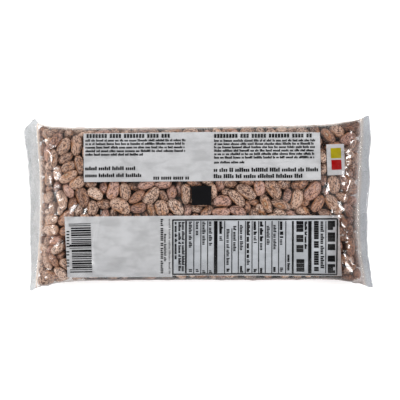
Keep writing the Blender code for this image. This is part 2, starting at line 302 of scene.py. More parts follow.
# The beans that the photograph shows clearly: middle, length and width in its
# pixels, turn in degrees, how deep under the film (0 touches it), kind, and
# whether the eye is up.
SHOWN = (
    # left end, above the lower panel
    (63.5, 146.0, 19.5, 12.0, 62, 0.0, "tan", 0),
    (56.0, 140.5, 19.0, 11.5, 52, 0.2, "pink", 0),
    (77.0, 145.0, 21.5, 12.3, 88, 0.0, "tan", 0),
    (53.3, 159.5, 21.0, 11.3, 84, 0.0, "tan", 0),
    (44.0, 149.8, 14.0, 10.0, 60, 0.6, "brown", 0),
    (41.2, 132.0, 13.0, 8.5, 85, 0.4, "brown", 0),
    (50.0, 135.2, 14.0, 7.5, 10, 0.5, "tan", 0),
    (56.5, 130.0, 19.0, 8.5, 0, 0.2, "tan", 0),
    (70.0, 133.5, 13.0, 9.0, 120, 0.6, "tan", 0),
    (78.5, 130.8, 16.0, 8.5, 0, 0.5, "pale", 0),
    (66.5, 158.5, 16.0, 9.0, 35, 0.3, "tan", 0),
    (68.8, 165.5, 14.0, 8.5, 35, 0.4, "pink", 0),
    (68.5, 175.0, 20.0, 11.0, 35, 0.0, "tan", 1),
    (59.2, 172.5, 16.0, 9.8, 75, 0.2, "tan", 0),
    (79.0, 165.0, 20.0, 10.5, 104, 0.2, "tan", 0),
    (43.0, 165.5, 21.0, 9.5, 86, 0.1, "pale", 0),
    (50.5, 178.0, 17.0, 9.3, 80, 0.2, "tan", 1),
    (76.3, 182.0, 17.0, 12.0, 38, 0.1, "tan", 0),
    (82.5, 196.8, 20.5, 13.3, 112, 0.0, "tan", 0),
    (69.0, 190.0, 14.0, 9.8, 130, 0.4, "pink", 0),
    (62.3, 199.5, 20.0, 10.8, 96, 0.1, "tan", 0),
    (49.0, 196.5, 16.0, 12.5, 5, 0.1, "tan", 0),
    (59.0, 186.5, 11.0, 7.0, 60, 0.9, "pink", 0),
    (44.0, 184.5, 14.0, 8.5, 90, 0.4, "tan", 0),
    (73.5, 201.5, 14.5, 10.0, 80, 0.4, "brown", 0),
    (77.0, 210.5, 14.0, 9.0, 60, 0.5, "pale", 0),
    (93.0, 207.8, 15.5, 11.0, 80, 0.2, "tan", 0),
    (95.5, 193.2, 16.5, 11.5, 150, 0.0, "pale", 0),
    (54.5, 206.5, 14.0, 9.0, 120, 0.4, "tan", 0),
    (45.0, 206.0, 13.0, 8.5, 20, 0.4, "brown", 0),
    # left end, beside the lower panel
    (51.0, 230.0, 18.5, 11.8, 8, 0.0, "pale", 0),
    (46.5, 249.0, 15.0, 12.0, 100, 0.1, "pale", 0),
    (52.0, 218.5, 16.0, 11.0, 0, 0.2, "tan", 0),
    (42.5, 217.0, 13.0, 8.0, 90, 0.4, "tan", 0),
    (41.2, 239.5, 12.0, 8.5, 30, 0.6, "brown", 0),
    (57.3, 239.0, 14.0, 8.0, 40, 0.5, "pink", 0),
    (58.5, 247.5, 14.0, 9.0, 40, 0.3, "pale", 0),
    (43.5, 265.5, 21.0, 10.8, 72, 0.0, "tan", 0),
    (50.3, 269.0, 15.0, 8.5, 100, 0.4, "tan", 0),
    (53.8, 260.0, 14.0, 7.5, 110, 0.5, "brown", 0),
    (59.0, 254.0, 13.0, 8.0, 30, 0.7, "brown", 0),
    (60.2, 272.5, 17.5, 11.0, 135, 0.0, "pale", 0),
    (45.5, 279.5, 19.0, 9.0, 5, 0.2, "tan", 0),
    # the clear band
    (104.5, 187.0, 14.0, 9.0, 90, 0.5, "pink", 0),
    (113.0, 189.5, 20.0, 12.8, 70, 0.0, "pink", 0),
    (125.5, 191.2, 18.5, 11.3, 100, 0.0, "tan", 0),
    (120.3, 206.3, 22.5, 14.3, 150, 0.0, "tan", 0),
    (103.8, 203.3, 14.0, 10.0, 0, 0.4, "tan", 0),
    (104.3, 213.5, 14.0, 9.0, 90, 0.6, "pink", 0),
    (112.3, 213.0, 13.0, 8.5, 60, 0.7, "tan", 0),
    (136.6, 196.7, 19.5, 9.2, 28, 0.1, "brown", 0),
    (138.0, 207.3, 16.0, 10.8, 12, 0.2, "pink", 0),
    (151.5, 195.2, 20.5, 12.8, 45, 0.0, "pale", 0),
    (147.0, 184.0, 18.0, 9.3, 18, 0.3, "pink", 0),
    (134.5, 186.5, 13.0, 9.0, 0, 0.9, "tan", 0),
    (146.0, 213.5, 13.0, 8.0, 90, 0.9, "brown", 0),
    (162.7, 184.5, 18.0, 10.0, 3, 0.3, "pink", 0),
    (171.0, 191.7, 14.5, 9.8, 82, 0.2, "pink", 0),
    (164.0, 197.0, 15.0, 8.5, 118, 0.4, "pale", 0),
    (161.0, 208.5, 17.5, 14.3, 100, 0.0, "tan", 0),
    (175.3, 207.4, 20.0, 12.8, 132, 0.0, "pale", 0),
    (186.0, 194.0, 20.5, 11.0, 95, 0.1, "tan", 0),
    (188.0, 209.5, 14.0, 9.0, 80, 0.3, "pink", 0),
    (196.3, 208.3, 14.0, 8.0, 0, 0.5, "pale", 0),
    (207.5, 211.5, 15.0, 11.0, 50, 0.3, "tan", 0),
    (212.3, 191.5, 17.0, 9.0, 90, 0.3, "tan", 0),
    (196.0, 183.0, 14.0, 8.5, 0, 0.4, "brown", 0),
    (208.0, 182.6, 14.0, 8.5, 0, 0.4, "pale", 0),
    (220.0, 186.3, 14.5, 10.5, 60, 0.5, "pink", 0),
    (229.3, 183.3, 14.0, 9.5, 0, 0.3, "pale", 0),
    (221.7, 201.0, 19.0, 11.8, 178, 0.0, "pink", 0),
    (236.5, 198.4, 21.0, 10.8, 138, 0.0, "tan", 0),
    (246.7, 192.2, 22.0, 12.8, 148, 0.0, "pale", 0),
    (246.0, 182.3, 15.0, 8.0, 165, 0.4, "brown", 0),
    (259.0, 188.3, 16.5, 12.3, 90, 0.1, "pink", 0),
    (273.0, 189.6, 22.5, 13.8, 125, 0.0, "tan", 0),
    (264.8, 204.7, 20.5, 11.3, 100, 0.0, "tan", 1),
    (254.2, 203.3, 13.0, 8.5, 0, 0.9, "brown", 0),
    (255.0, 211.7, 14.0, 10.8, 90, 0.2, "pale", 0),
    (247.0, 207.8, 15.0, 7.5, 78, 0.7, "brown", 0),
    (237.5, 211.7, 17.5, 11.3, 160, 0.1, "pink", 0),
    (221.2, 212.0, 18.5, 10.8, 3, 0.1, "pink", 0),
    (280.4, 204.7, 22.0, 11.5, 165, 0.0, "tan", 1),
    (278.0, 213.7, 15.0, 8.5, 175, 0.4, "pale", 0),
    (284.2, 185.0, 14.5, 11.5, 0, 0.2, "pale", 0),
    (287.0, 195.2, 13.0, 9.0, 90, 0.7, "pink", 0),
    (299.8, 185.0, 17.0, 9.5, 15, 0.2, "brown", 0),
    (312.2, 191.6, 22.5, 14.0, 50, 0.0, "pink", 0),
    (296.8, 200.0, 20.5, 12.0, 80, 0.0, "tan", 0),
    (303.5, 210.7, 13.0, 10.0, 0, 0.3, "tan", 1),
    (307.7, 206.3, 13.0, 8.0, 90, 0.8, "tan", 0),
    (317.4, 204.2, 19.0, 10.5, 62, 0.1, "brown", 0),
    (293.5, 213.0, 15.0, 8.0, 10, 0.5, "pink", 0),
    (326.3, 213.2, 14.0, 8.5, 0, 0.4, "pale", 0),
    (331.5, 203.0, 16.0, 12.3, 120, 0.1, "pale", 0),
    (334.0, 185.6, 18.5, 12.3, 100, 0.0, "tan", 0),
    (324.7, 192.8, 13.0, 8.5, 130, 0.6, "pink", 0),
    (341.3, 197.5, 14.0, 9.5, 0, 0.4, "tan", 0),
    # right end
    (329.0, 136.8, 18.5, 10.3, 132, 0.0, "brown", 1),
    (337.5, 132.3, 16.5, 12.3, 140, 0.1, "tan", 0),
    (349.0, 127.3, 20.0, 10.0, 10, 0.2, "brown", 0),
    (357.7, 129.5, 17.0, 9.5, 112, 0.1, "brown", 0),
    (347.5, 139.5, 16.5, 11.5, 25, 0.0, "pink", 0),
    (355.5, 148.0, 14.0, 9.5, 60, 0.3, "brown", 0),
    (355.0, 159.7, 14.5, 9.5, 100, 0.3, "tan", 0),
    (322.7, 157.0, 14.5, 10.5, 90, 0.3, "pale", 0),
    (322.5, 168.5, 13.0, 9.5, 90, 0.5, "tan", 0),
    (322.7, 179.0, 13.5, 9.5, 90, 0.5, "pink", 0),
    (355.0, 172.0, 18.0, 8.5, 80, 0.2, "brown", 0),
    (341.8, 183.5, 17.5, 9.8, 115, 0.3, "pink", 0),
    (347.7, 176.5, 13.0, 7.5, 110, 0.7, "pink", 0),
    (352.5, 190.0, 14.0, 10.3, 20, 0.3, "brown", 0),
    (352.0, 201.3, 14.0, 9.5, 0, 0.3, "pink", 0),
    (347.0, 210.7, 17.0, 10.8, 124, 0.1, "pink", 0),
    (336.5, 209.3, 14.0, 9.5, 40, 0.5, "tan", 0),
    (355.3, 213.0, 14.0, 8.0, 95, 0.3, "tan", 0),
    (355.2, 227.0, 13.5, 11.0, 0, 0.1, "pink", 0),
    (347.5, 231.0, 14.5, 9.0, 100, 0.4, "tan", 0),
    (357.7, 241.7, 21.0, 9.5, 110, 0.1, "tan", 0),
    (349.0, 246.5, 19.5, 11.8, 100, 0.0, "brown", 0),
    (353.0, 260.7, 15.0, 12.0, 60, 0.1, "tan", 0),
    (361.2, 259.5, 14.0, 8.5, 80, 0.3, "brown", 0),
    (356.3, 274.3, 21.0, 12.3, 160, 0.0, "brown", 0),
    (346.0, 277.5, 14.0, 8.0, 175, 0.4, "brown", 0),
)


def wall_field(cell=2.0):
    """A grid of depths inside the bag's wall, for points in mm."""
    xs = np.linspace(-LENGTH / 2 + SEAL_DEPTH, LENGTH / 2 - SEAL_DEPTH, 90)
    rings = placed(even_rings(xs, 48, 48), SHIFT)
    faces = grid_faces(len(xs), 96, True)
    points = rings.reshape(-1, 3)
    tree = tree_of(points, faces)
    low = points.min(0) - 4.0
    shape = np.ceil((points.max(0) + 4.0 - low) / cell).astype(int) + 1
    depth = np.empty(shape)
    for i in range(shape[0]):
        for j in range(shape[1]):
            for k in range(shape[2]):
                p = Vector(low + cell * np.array([i, j, k]))
                near, normal, _, dist = tree.find_nearest(p)
                depth[i, j, k] = dist if (p - near).dot(normal) < 0 else -dist
    # which way the faces point, seen from the middle of the bag
    mid = ((np.array([0, 0, 15.0]) - low) / cell).astype(int)
    if depth[tuple(mid)] < 0:
        depth = -depth
    return low, cell, depth


def depth_at(field, p):
    low, cell, depth = field
    g = (p - low) / cell
    g = np.clip(g, 0, np.array(depth.shape) - 1.001)
    i = g.astype(int)
    f = g - i
    total = np.zeros(len(p))
    slope = np.zeros((len(p), 3))
    for dx in (0, 1):
        for dy in (0, 1):
            for dz in (0, 1):
                v = depth[i[:, 0] + dx, i[:, 1] + dy, i[:, 2] + dz]
                wx = f[:, 0] if dx else 1 - f[:, 0]
                wy = f[:, 1] if dy else 1 - f[:, 1]
                wz = f[:, 2] if dz else 1 - f[:, 2]
                total += v * wx * wy * wz
                slope[:, 0] += v * (1 if dx else -1) * wy * wz
                slope[:, 1] += v * (1 if dy else -1) * wx * wz
                slope[:, 2] += v * (1 if dz else -1) * wx * wy
    slope /= np.maximum(np.linalg.norm(slope, axis=1), 1e-9)[:, None]
    return total, slope


def close_pairs(p, owner, reach):
    """Pairs of balls of two different beans whose middles are within reach."""
    cell = np.floor((p - p.min(0)) / reach).astype(np.int64) + 1
    span = cell.max(0) + 2
    key = (cell[:, 0] * span[1] + cell[:, 1]) * span[2] + cell[:, 2]
    order = np.argsort(key, kind="stable")
    sk = key[order]
    n = len(p)
    firsts, seconds = [], []
    for dx in (0, 1):
        for dy in (-1, 0, 1):
            for dz in (-1, 0, 1):
                if (dx, dy, dz) < (0, 0, 0):
                    continue
                want = sk + (dx * span[1] + dy) * span[2] + dz
                lo = np.searchsorted(sk, want, "left")
                hi = np.searchsorted(sk, want, "right")
                if (dx, dy, dz) == (0, 0, 0):
                    lo = np.arange(n) + 1
                count = np.maximum(hi - lo, 0)
                a = np.repeat(np.arange(n), count)
                start = np.repeat(lo - (np.cumsum(count) - count), count)
                b = start + np.arange(count.sum())
                firsts.append(order[a])
                seconds.append(order[b])
    a, b = np.concatenate(firsts), np.concatenate(seconds)
    keep = owner[a] != owner[b]
    a, b = a[keep], b[keep]
    d = p[a] - p[b]
    keep = np.einsum("ij,ij->i", d, d) < reach * reach
    return a[keep], b[keep]


def matrices(q):
    w, x, y, z = q.T
    return np.stack(
        [
            1 - 2 * (y * y + z * z), 2 * (x * y - w * z), 2 * (x * z + w * y),
            2 * (x * y + w * z), 1 - 2 * (x * x + z * z), 2 * (y * z - w * x),
            2 * (x * z - w * y), 2 * (y * z + w * x), 1 - 2 * (x * x + y * y),
        ],
        -1,
    ).reshape(-1, 3, 3)


def turned(q, spin):
    w, x, y, z = q.T
    a, b, c = (spin * 0.5).T
    out = q + np.stack(
        [
            -a * x - b * y - c * z,
            a * w + b * z - c * y,
            -a * z + b * w + c * x,
            a * y - b * x + c * w,
        ],
        -1,
    )
    return out / np.linalg.norm(out, axis=1)[:, None]


def shown_bean(field, px, py, long, wide, turn, deep, eye):
    """Size, middle and turn that make a bean look as it does in the photograph."""
    size = [long * PIXEL, wide * PIXEL, BEAN_THICKNESS]
    pitch, roll = 0.0, 0.0
    if wide < 10.4 or eye:  # lying on its edge, or nearly
        size[1], size[2] = BEAN_WIDTH, min(max(wide * PIXEL, 5.5), 6.6)
        roll = math.radians(68.0 if eye else -60.0 - 2.0 * (10.4 - wide))
    if long < 15.5:  # one end under its neighbours
        size[0] = 12.2
        pitch = math.acos(min(long * PIXEL / 12.2, 1.0)) * (1 if turn % 40 < 20 else -1)
    size = np.clip(size, (10.8, 7.3, 5.4), (15.3, 9.7, 6.8))
    half = size[2] / 2 if abs(roll) < 0.5 else size[1] / 2
    half += 0.5 * abs(math.sin(pitch)) * (size[0] / 2 - half)
    want = half + WALL_GAP + 3.2 * deep
    zs = np.linspace(32.0, 8.0, 97)
    scale = PER_PIXEL * (EYE[2] - zs)
    line = np.stack(
        [EYE[0] + (px - 200) * scale, EYE[1] + (200 - py) * scale, zs], 1
    )
    depth, inward = depth_at(field, line)
    good = np.nonzero(depth >= want)[0]
    k = int(good[0]) if len(good) else int(np.argmax(depth))
    up = -inward[k]
    if up[2] < 0.35:
        up = np.array([up[0], up[1], 0.35 + 0.0 * up[2]])
    up = up / np.linalg.norm(up)
    along = np.array([math.cos(math.radians(turn)), math.sin(math.radians(turn)), 0.0])
    along[2] = -(along[0] * up[0] + along[1] * up[1]) / up[2]
    along /= np.linalg.norm(along)
    up = math.cos(pitch) * up + math.sin(pitch) * along
    across = np.cross(up, along)
    across /= np.linalg.norm(across)
    along = np.cross(across, up)
    ey = math.cos(roll) * across + math.sin(roll) * up
    ez = -math.sin(roll) * across + math.cos(roll) * up
    turn_q = Matrix(np.stack([along, ey, ez], 1).tolist()).to_quaternion()
    return size, line[k], np.array(turn_q)


def settle_beans(rng, field):
    """Sizes, middles and turns of the beans. Each is held as six balls while they push apart."""
    sizes = np.stack(
        [
            BEAN_LENGTH * np.clip(1 + 0.075 * rng.standard_normal(BEANS), 0.82, 1.17),
            BEAN_WIDTH * np.clip(1 + 0.055 * rng.standard_normal(BEANS), 0.86, 1.14),
            BEAN_THICKNESS * np.clip(1 + 0.06 * rng.standard_normal(BEANS), 0.85, 1.15),
        ],
        1,
    )
    held = len(SHOWN)
    hold = [shown_bean(field, *row[:6], row[7]) for row in SHOWN]
    hold_mid = np.array([h[1] for h in hold])
    hold_turn = np.array([h[2] for h in hold])
    sizes[:held] = [h[0] for h in hold]
    a, b, c = (sizes / 2).T
    zero = np.zeros(BEANS)
    balls = [
        (a - 0.93 * c, zero, 0.93 * c),
        (0.93 * c - a, zero, 0.93 * c),
        (0.30 * a, b - c, c),
        (0.30 * a, c - b, c),
        (-0.30 * a, b - c, c),
        (-0.30 * a, c - b, c),
    ]
    offsets = np.stack([np.stack([x, y, zero], -1) for x, y, _ in balls], 1)
    radii = np.stack([r for _, _, r in balls], 1).ravel()
    owner = np.repeat(np.arange(BEANS), 6)
    # an even but unordered start inside the bag
    low, cell, depth = field
    start = []
    while len(start) < BEANS:
        p = np.array([-112.0, -56.0, 0.0]) + rng.random((4000, 3)) * [224, 112, 34]
        inside = depth_at(field, p)[0] > 2.5
        start.extend(p[inside].tolist())
    mid = np.array(start[:BEANS])
    q = rng.standard_normal((BEANS, 4)) * [1.0, 0.55, 0.55, 1.0]
    q /= np.linalg.norm(q, axis=1)[:, None]
    mid[:held], q[:held] = hold_mid, hold_turn
    grow, steps = 170, 420
    for step in range(steps):
        scale = min(1.0, 0.50 + 0.50 * step / grow)
        m = matrices(q)
        arm = np.einsum("bij,bkj->bki", m, offsets * scale).reshape(-1, 3)
        p = mid[owner] + arm
        r = radii * scale
        if step % 6 == 0:
            first, second = close_pairs(p, owner, 2 * radii.max() * scale + 1.2)
        d = p[first] - p[second]
        dist = np.linalg.norm(d, axis=1)
        lap = r[first] + r[second] - dist
        hit = lap > 0
        f, s = first[hit], second[hit]
        push = (0.5 * lap[hit] / np.maximum(dist[hit], 1e-6))[:, None] * d[hit]
        depth_now, inward = depth_at(field, p)
        if step % 6 == 0:
            px, py = to_pixel(p)
            window = (px < 83) | (px > 321) | ((py > 182) & (py < 216))
            gap = WALL_GAP + FILLER_DEPTH * (window & (owner >= held) & (p[:, 2] > 12))
        out = r + gap - depth_now
        wall = np.nonzero(out > 0)[0]
        who = np.concatenate([f, s, wall])
        move = np.concatenate([push, -push, inward[wall] * out[wall][:, None]])
        bean = owner[who]
        count = np.maximum(np.bincount(bean, minlength=BEANS), 1)
        twist = np.cross(arm[who], move)
        lever = np.bincount(
            bean, np.einsum("ij,ij->i", arm[who], arm[who]), minlength=BEANS
        )
        shove = np.stack(
            [np.bincount(bean, move[:, k], minlength=BEANS) for k in range(3)], 1
        )
        spin = np.stack(
            [np.bincount(bean, twist[:, k], minlength=BEANS) for k in range(3)], 1
        )
        mid = mid + 1.5 * shove / count[:, None]
        spin = 1.3 * spin / (lever + 6.0)[:, None]
        if step < grow:
            mid = mid + rng.standard_normal(mid.shape) * 0.12 * (1 - step / grow)
            spin = spin + rng.standard_normal(spin.shape) * 0.05 * (1 - step / grow)
        elif step < steps - 60:
            mid[:, 2] -= 0.012
        q = turned(q, np.clip(spin, -0.25, 0.25))
        # the shown beans are drawn back to their places, less so at the end
        firm = 0.5 if step < steps - 120 else 0.12
        mid[:held, :2] += firm * (hold_mid - mid[:held])[:, :2]
        mid[:held, 2] += 0.3 * firm * (hold_mid - mid[:held])[:, 2]
        near = np.sign(np.sum(q[:held] * hold_turn, 1))[:, None] * hold_turn
        mixed = q[:held] * (1 - firm) + near * firm
        q[:held] = mixed / np.linalg.norm(mixed, axis=1)[:, None]
    print("settled: worst lap", round(float(lap.max()), 2), "mm, mean of hits",
          round(float(lap[hit].mean()), 3))
    off = mid[:held, :2] - hold_mid[:, :2]
    print("shown beans off by", round(float(np.linalg.norm(off, axis=1).mean()), 2),
          "mm, at most", round(float(np.linalg.norm(off, axis=1).max()), 2))
    return sizes, mid, q


def bean_shape(rings, around):
    """One bean on a unit scale: its points, faces, and which side has the eye (+Y)."""
    points = [(-1.0, 0.0, 0.0)]
    for i in range(1, rings):
        phi = math.pi * i / rings
        x = -math.cos(phi)
        girth = math.sin(phi) ** 0.88
        for j in range(around):
            t = TAU * j / around
            points.append((x, girth * math.cos(t), girth * math.sin(t)))
    points.append((1.0, 0.0, 0.0))
    p = np.array(points)
    loops, sizes = [], []
    for j in range(around):
        k = (j + 1) % around
        loops += [0, 1 + k, 1 + j]
        sizes.append(3)
    for i in range(rings - 2):
        for j in range(around):
            k = (j + 1) % around
            a, b = 1 + i * around + j, 1 + i * around + k
            loops += [a, b, b + around, a + around]
            sizes.append(4)
    last = len(points) - 1
    base = 1 + (rings - 2) * around
    for j in range(around):
        k = (j + 1) % around
        loops += [last, base + j, base + k]
        sizes.append(3)
    return p, np.array(loops), np.array(sizes)


def bean_map(rings, around):
    """The corners' places of bean_shape's faces on a map of the unit square."""
    out = []
    for j in range(around):
        out += [(0, (j + 0.5) / around), (1 / rings, (j + 1) / around), (1 / rings, j / around)]
    for i in range(1, rings - 1):
        for j in range(around):
            a, b, c, d = i / rings, (i + 1) / rings, j / around, (j + 1) / around
            out += [(a, c), (a, d), (b, d), (b, c)]
    low = (rings - 1) / rings
    for j in range(around):
        out += [(1, (j + 0.5) / around), (low, j / around), (low, (j + 1) / around)]
    return np.array(out, float)


def bean_points(unit, size, rng):
    """The unit shape at one bean's size, bent like a bean, in mm."""
    a, b, c = size / 2
    x, y, z = unit.T
    bend = rng.uniform(0.05, 0.16)
    blunt = rng.uniform(-0.10, 0.10)  # one end fuller than the other
    swell = 1 + blunt * x
    px = a * x
    py = b * y * swell * np.where(y > 0, 0.96, 1.0)
    py = py + b * bend * (x * x - 0.45)
    notch = np.exp(-((x / 0.26) ** 2)) * np.clip(y, 0, 1) ** 2
    py = py - 0.075 * b * notch
    pz = c * z * swell * (1 - 0.05 * y)
    # dried skins are a little uneven
    k = rng.uniform(0, TAU, 3)
    dent = 0.10 * np.sin(1.7 * x + 2.1 * z + k[0]) + 0.07 * np.sin(
        3.1 * x - 2.3 * y + k[1]
    )
    pz = pz + dent * z
    return np.stack([px, py, pz], -1)


# ---------------------------------------------------------------------------
# Materials
# ---------------------------------------------------------------------------
class Nodes:
    """A short way to write a material's nodes."""

    def __init__(self, name):
        self.material = bpy.data.materials.new(name)
        self.material.use_nodes = True
        self.tree = self.material.node_tree
        self.tree.nodes.clear()
        self.out = self.tree.nodes.new("ShaderNodeOutputMaterial")

    def add(self, kind, inputs=None, **settings):
        n = self.tree.nodes.new(kind)
        for key, value in settings.items():
            setattr(n, key, value)
        for key, value in (inputs or {}).items():
            self.give(n.inputs[key], value)
        return n

    def give(self, socket, value):
        if hasattr(value, "is_output"):
            self.tree.links.new(value, socket)
        elif hasattr(value, "outputs"):
            self.tree.links.new(value.outputs[0], socket)
        else:
            socket.default_value = value

    def maths(self, operation, a, b=None, c=None, clamp=False):
        n = self.add("ShaderNodeMath", operation=operation, use_clamp=clamp)
        for i, v in enumerate((a, b, c)):
            if v is not None:
                self.give(n.inputs[i], v)
        return n.outputs[0]

    def ramp(self, value, low, high, to_low=0.0, to_high=1.0, smooth=True):
        n = self.add(
            "ShaderNodeMapRange",
            {
                "Value": value,
                "From Min": low,
                "From Max": high,
                "To Min": to_low,
                "To Max": to_high,
            },
            interpolation_type="SMOOTHSTEP" if smooth else "LINEAR",
        )
        return n.outputs[0]

    def mix(self, share, a, b, blend="MIX"):
        n = self.add("ShaderNodeMix", data_type="RGBA", blend_type=blend)
        self.give(n.inputs[0], share)
        self.give(n.inputs[6], a)
        self.give(n.inputs[7], b)
        return n.outputs[2]


def bean_material(name, pale, base, fleck, fleck_amount):
    """Speckled skin: flecks drawn out along the bean, an eye with a warm ring, and a tone of its own for each bean."""
    n = Nodes(name)
    co = n.add("ShaderNodeAttribute", attribute_name="bean_co").outputs["Vector"]
    own = n.add("ShaderNodeAttribute", attribute_name="bean_own")
    tone, seed = n.add("ShaderNodeSeparateXYZ", {0: own.outputs["Vector"]}).outputs[:2]
    warm = n.tree.nodes[-1].outputs[2]
    apart = n.add(
        "ShaderNodeVectorMath", {0: co, 1: seed}, operation="ADD"
    ).outputs[0]
    streaky = n.add(
        "ShaderNodeVectorMath", {0: apart, 1: (0.45, 1.0, 1.0)}, operation="MULTIPLY"
    ).outputs[0]
    streaks = n.add(
        "ShaderNodeTexNoise",
        {"Vector": streaky, "Scale": 1.50, "Detail": 1.8, "Roughness": 0.5},
    ).outputs[0]
    dots = n.add(
        "ShaderNodeTexNoise",
        {"Vector": apart, "Scale": 2.9, "Detail": 2.0, "Roughness": 0.5},
    ).outputs[0]
    clouds = n.add(
        "ShaderNodeTexNoise", {"Vector": apart, "Scale": 0.16, "Detail": 2.0}
    ).outputs[0]
    skin = n.mix(n.ramp(tone, 0.0, 1.0), pale, base)
    skin = n.mix(n.ramp(clouds, 0.35, 0.7, 0.0, 0.45), skin, base)
    skin = n.mix(n.ramp(warm, 0.72, 1.0, 0.0, 0.55), skin, (0.30, 0.135, 0.072, 1))
    blush = n.add(
        "ShaderNodeTexNoise", {"Vector": apart, "Scale": 0.24, "Detail": 1.0}
    ).outputs[0]
    skin = n.mix(n.ramp(blush, 0.53, 0.68, 0.0, 0.60), skin, (0.50, 0.225, 0.095, 1))
    more = n.maths("MULTIPLY_ADD", warm, 0.08, -0.038)
    cover = n.ramp(n.maths("ADD", streaks, more), 0.498, 0.535)
    skin = n.mix(n.maths("MULTIPLY", cover, fleck_amount), skin, fleck)
    spots = n.ramp(dots, 0.57, 0.63)
    skin = n.mix(
        n.maths("MULTIPLY", spots, 0.7 * fleck_amount), skin, (0.080, 0.036, 0.027, 1)
    )
    # the eye, on the middle of the +Y edge
    x, y, z = n.add("ShaderNodeSeparateXYZ", {0: co}).outputs[:3]
    wide = n.maths("POWER", n.maths("DIVIDE", x, 1.25), 2.0)
    tall = n.maths("POWER", n.maths("DIVIDE", z, 0.62), 2.0)
    reach = n.maths("SQRT", n.maths("ADD", wide, tall))
    on_edge = n.ramp(y, 1.5, 2.6)
    halo = n.maths("MULTIPLY", n.ramp(reach, 4.4, 1.3), on_edge)
    skin = n.mix(n.maths("MULTIPLY", halo, 0.70), skin, (0.42, 0.165, 0.05, 1))
    rim = n.maths("MULTIPLY", n.ramp(reach, 1.75, 1.25), on_edge)
    skin = n.mix(n.maths("MULTIPLY", rim, 0.8), skin, (0.07, 0.03, 0.018, 1))
    eye = n.maths("MULTIPLY", n.ramp(reach, 1.05, 0.8), on_edge)
    skin = n.mix(eye, skin, (0.44, 0.31, 0.20, 1))
    fine = n.add(
        "ShaderNodeTexNoise", {"Vector": apart, "Scale": 2.6, "Detail": 3.0}
    ).outputs[0]
    bump = n.add(
        "ShaderNodeBump", {"Strength": 0.25, "Distance": 0.00008, "Height": fine}
    )
    shine = n.ramp(clouds, 0.3, 0.7, 0.36, 0.52)
    shader = n.add(
        "ShaderNodeBsdfPrincipled",
        {
            "Base Color": skin,
            "Roughness": shine,
            "Specular IOR Level": 0.42,
            "Normal": bump,
        },
    )
    n.give(n.out.inputs["Surface"], shader)
    return n.material


def film_parts(n, scale, strength, distance):
    """The film's coordinates, its place on the bag, and its crinkled surface."""
    co = n.add("ShaderNodeTexCoord").outputs["Object"]
    at = n.add("ShaderNodeAttribute", attribute_name="bag_at").outputs["Vector"]
    inside, aside, right = n.add("ShaderNodeSeparateXYZ", {0: at}).outputs[:3]
    stretched = n.add(
        "ShaderNodeVectorMath", {0: co, 1: (0.55, 1.0, 1.0)}, operation="MULTIPLY"
    ).outputs[0]
    ripple = n.add(
        "ShaderNodeTexNoise",
        {"Vector": stretched, "Scale": scale, "Detail": 2.5, "Distortion": 0.6},
    ).outputs[0]
    facets = n.add(
        "ShaderNodeTexVoronoi",
        {"Vector": stretched, "Scale": scale * 0.75, "Randomness": 1.0},
    ).outputs["Distance"]
    height = n.maths("MULTIPLY_ADD", facets, 0.8, ripple)
    bump = n.add(
        "ShaderNodeBump", {"Strength": strength, "Distance": distance, "Height": height}
    )
    facing = n.add("ShaderNodeLayerWeight", {"Blend": 0.5}).outputs["Facing"]
    return co, inside, aside, right, bump, facing


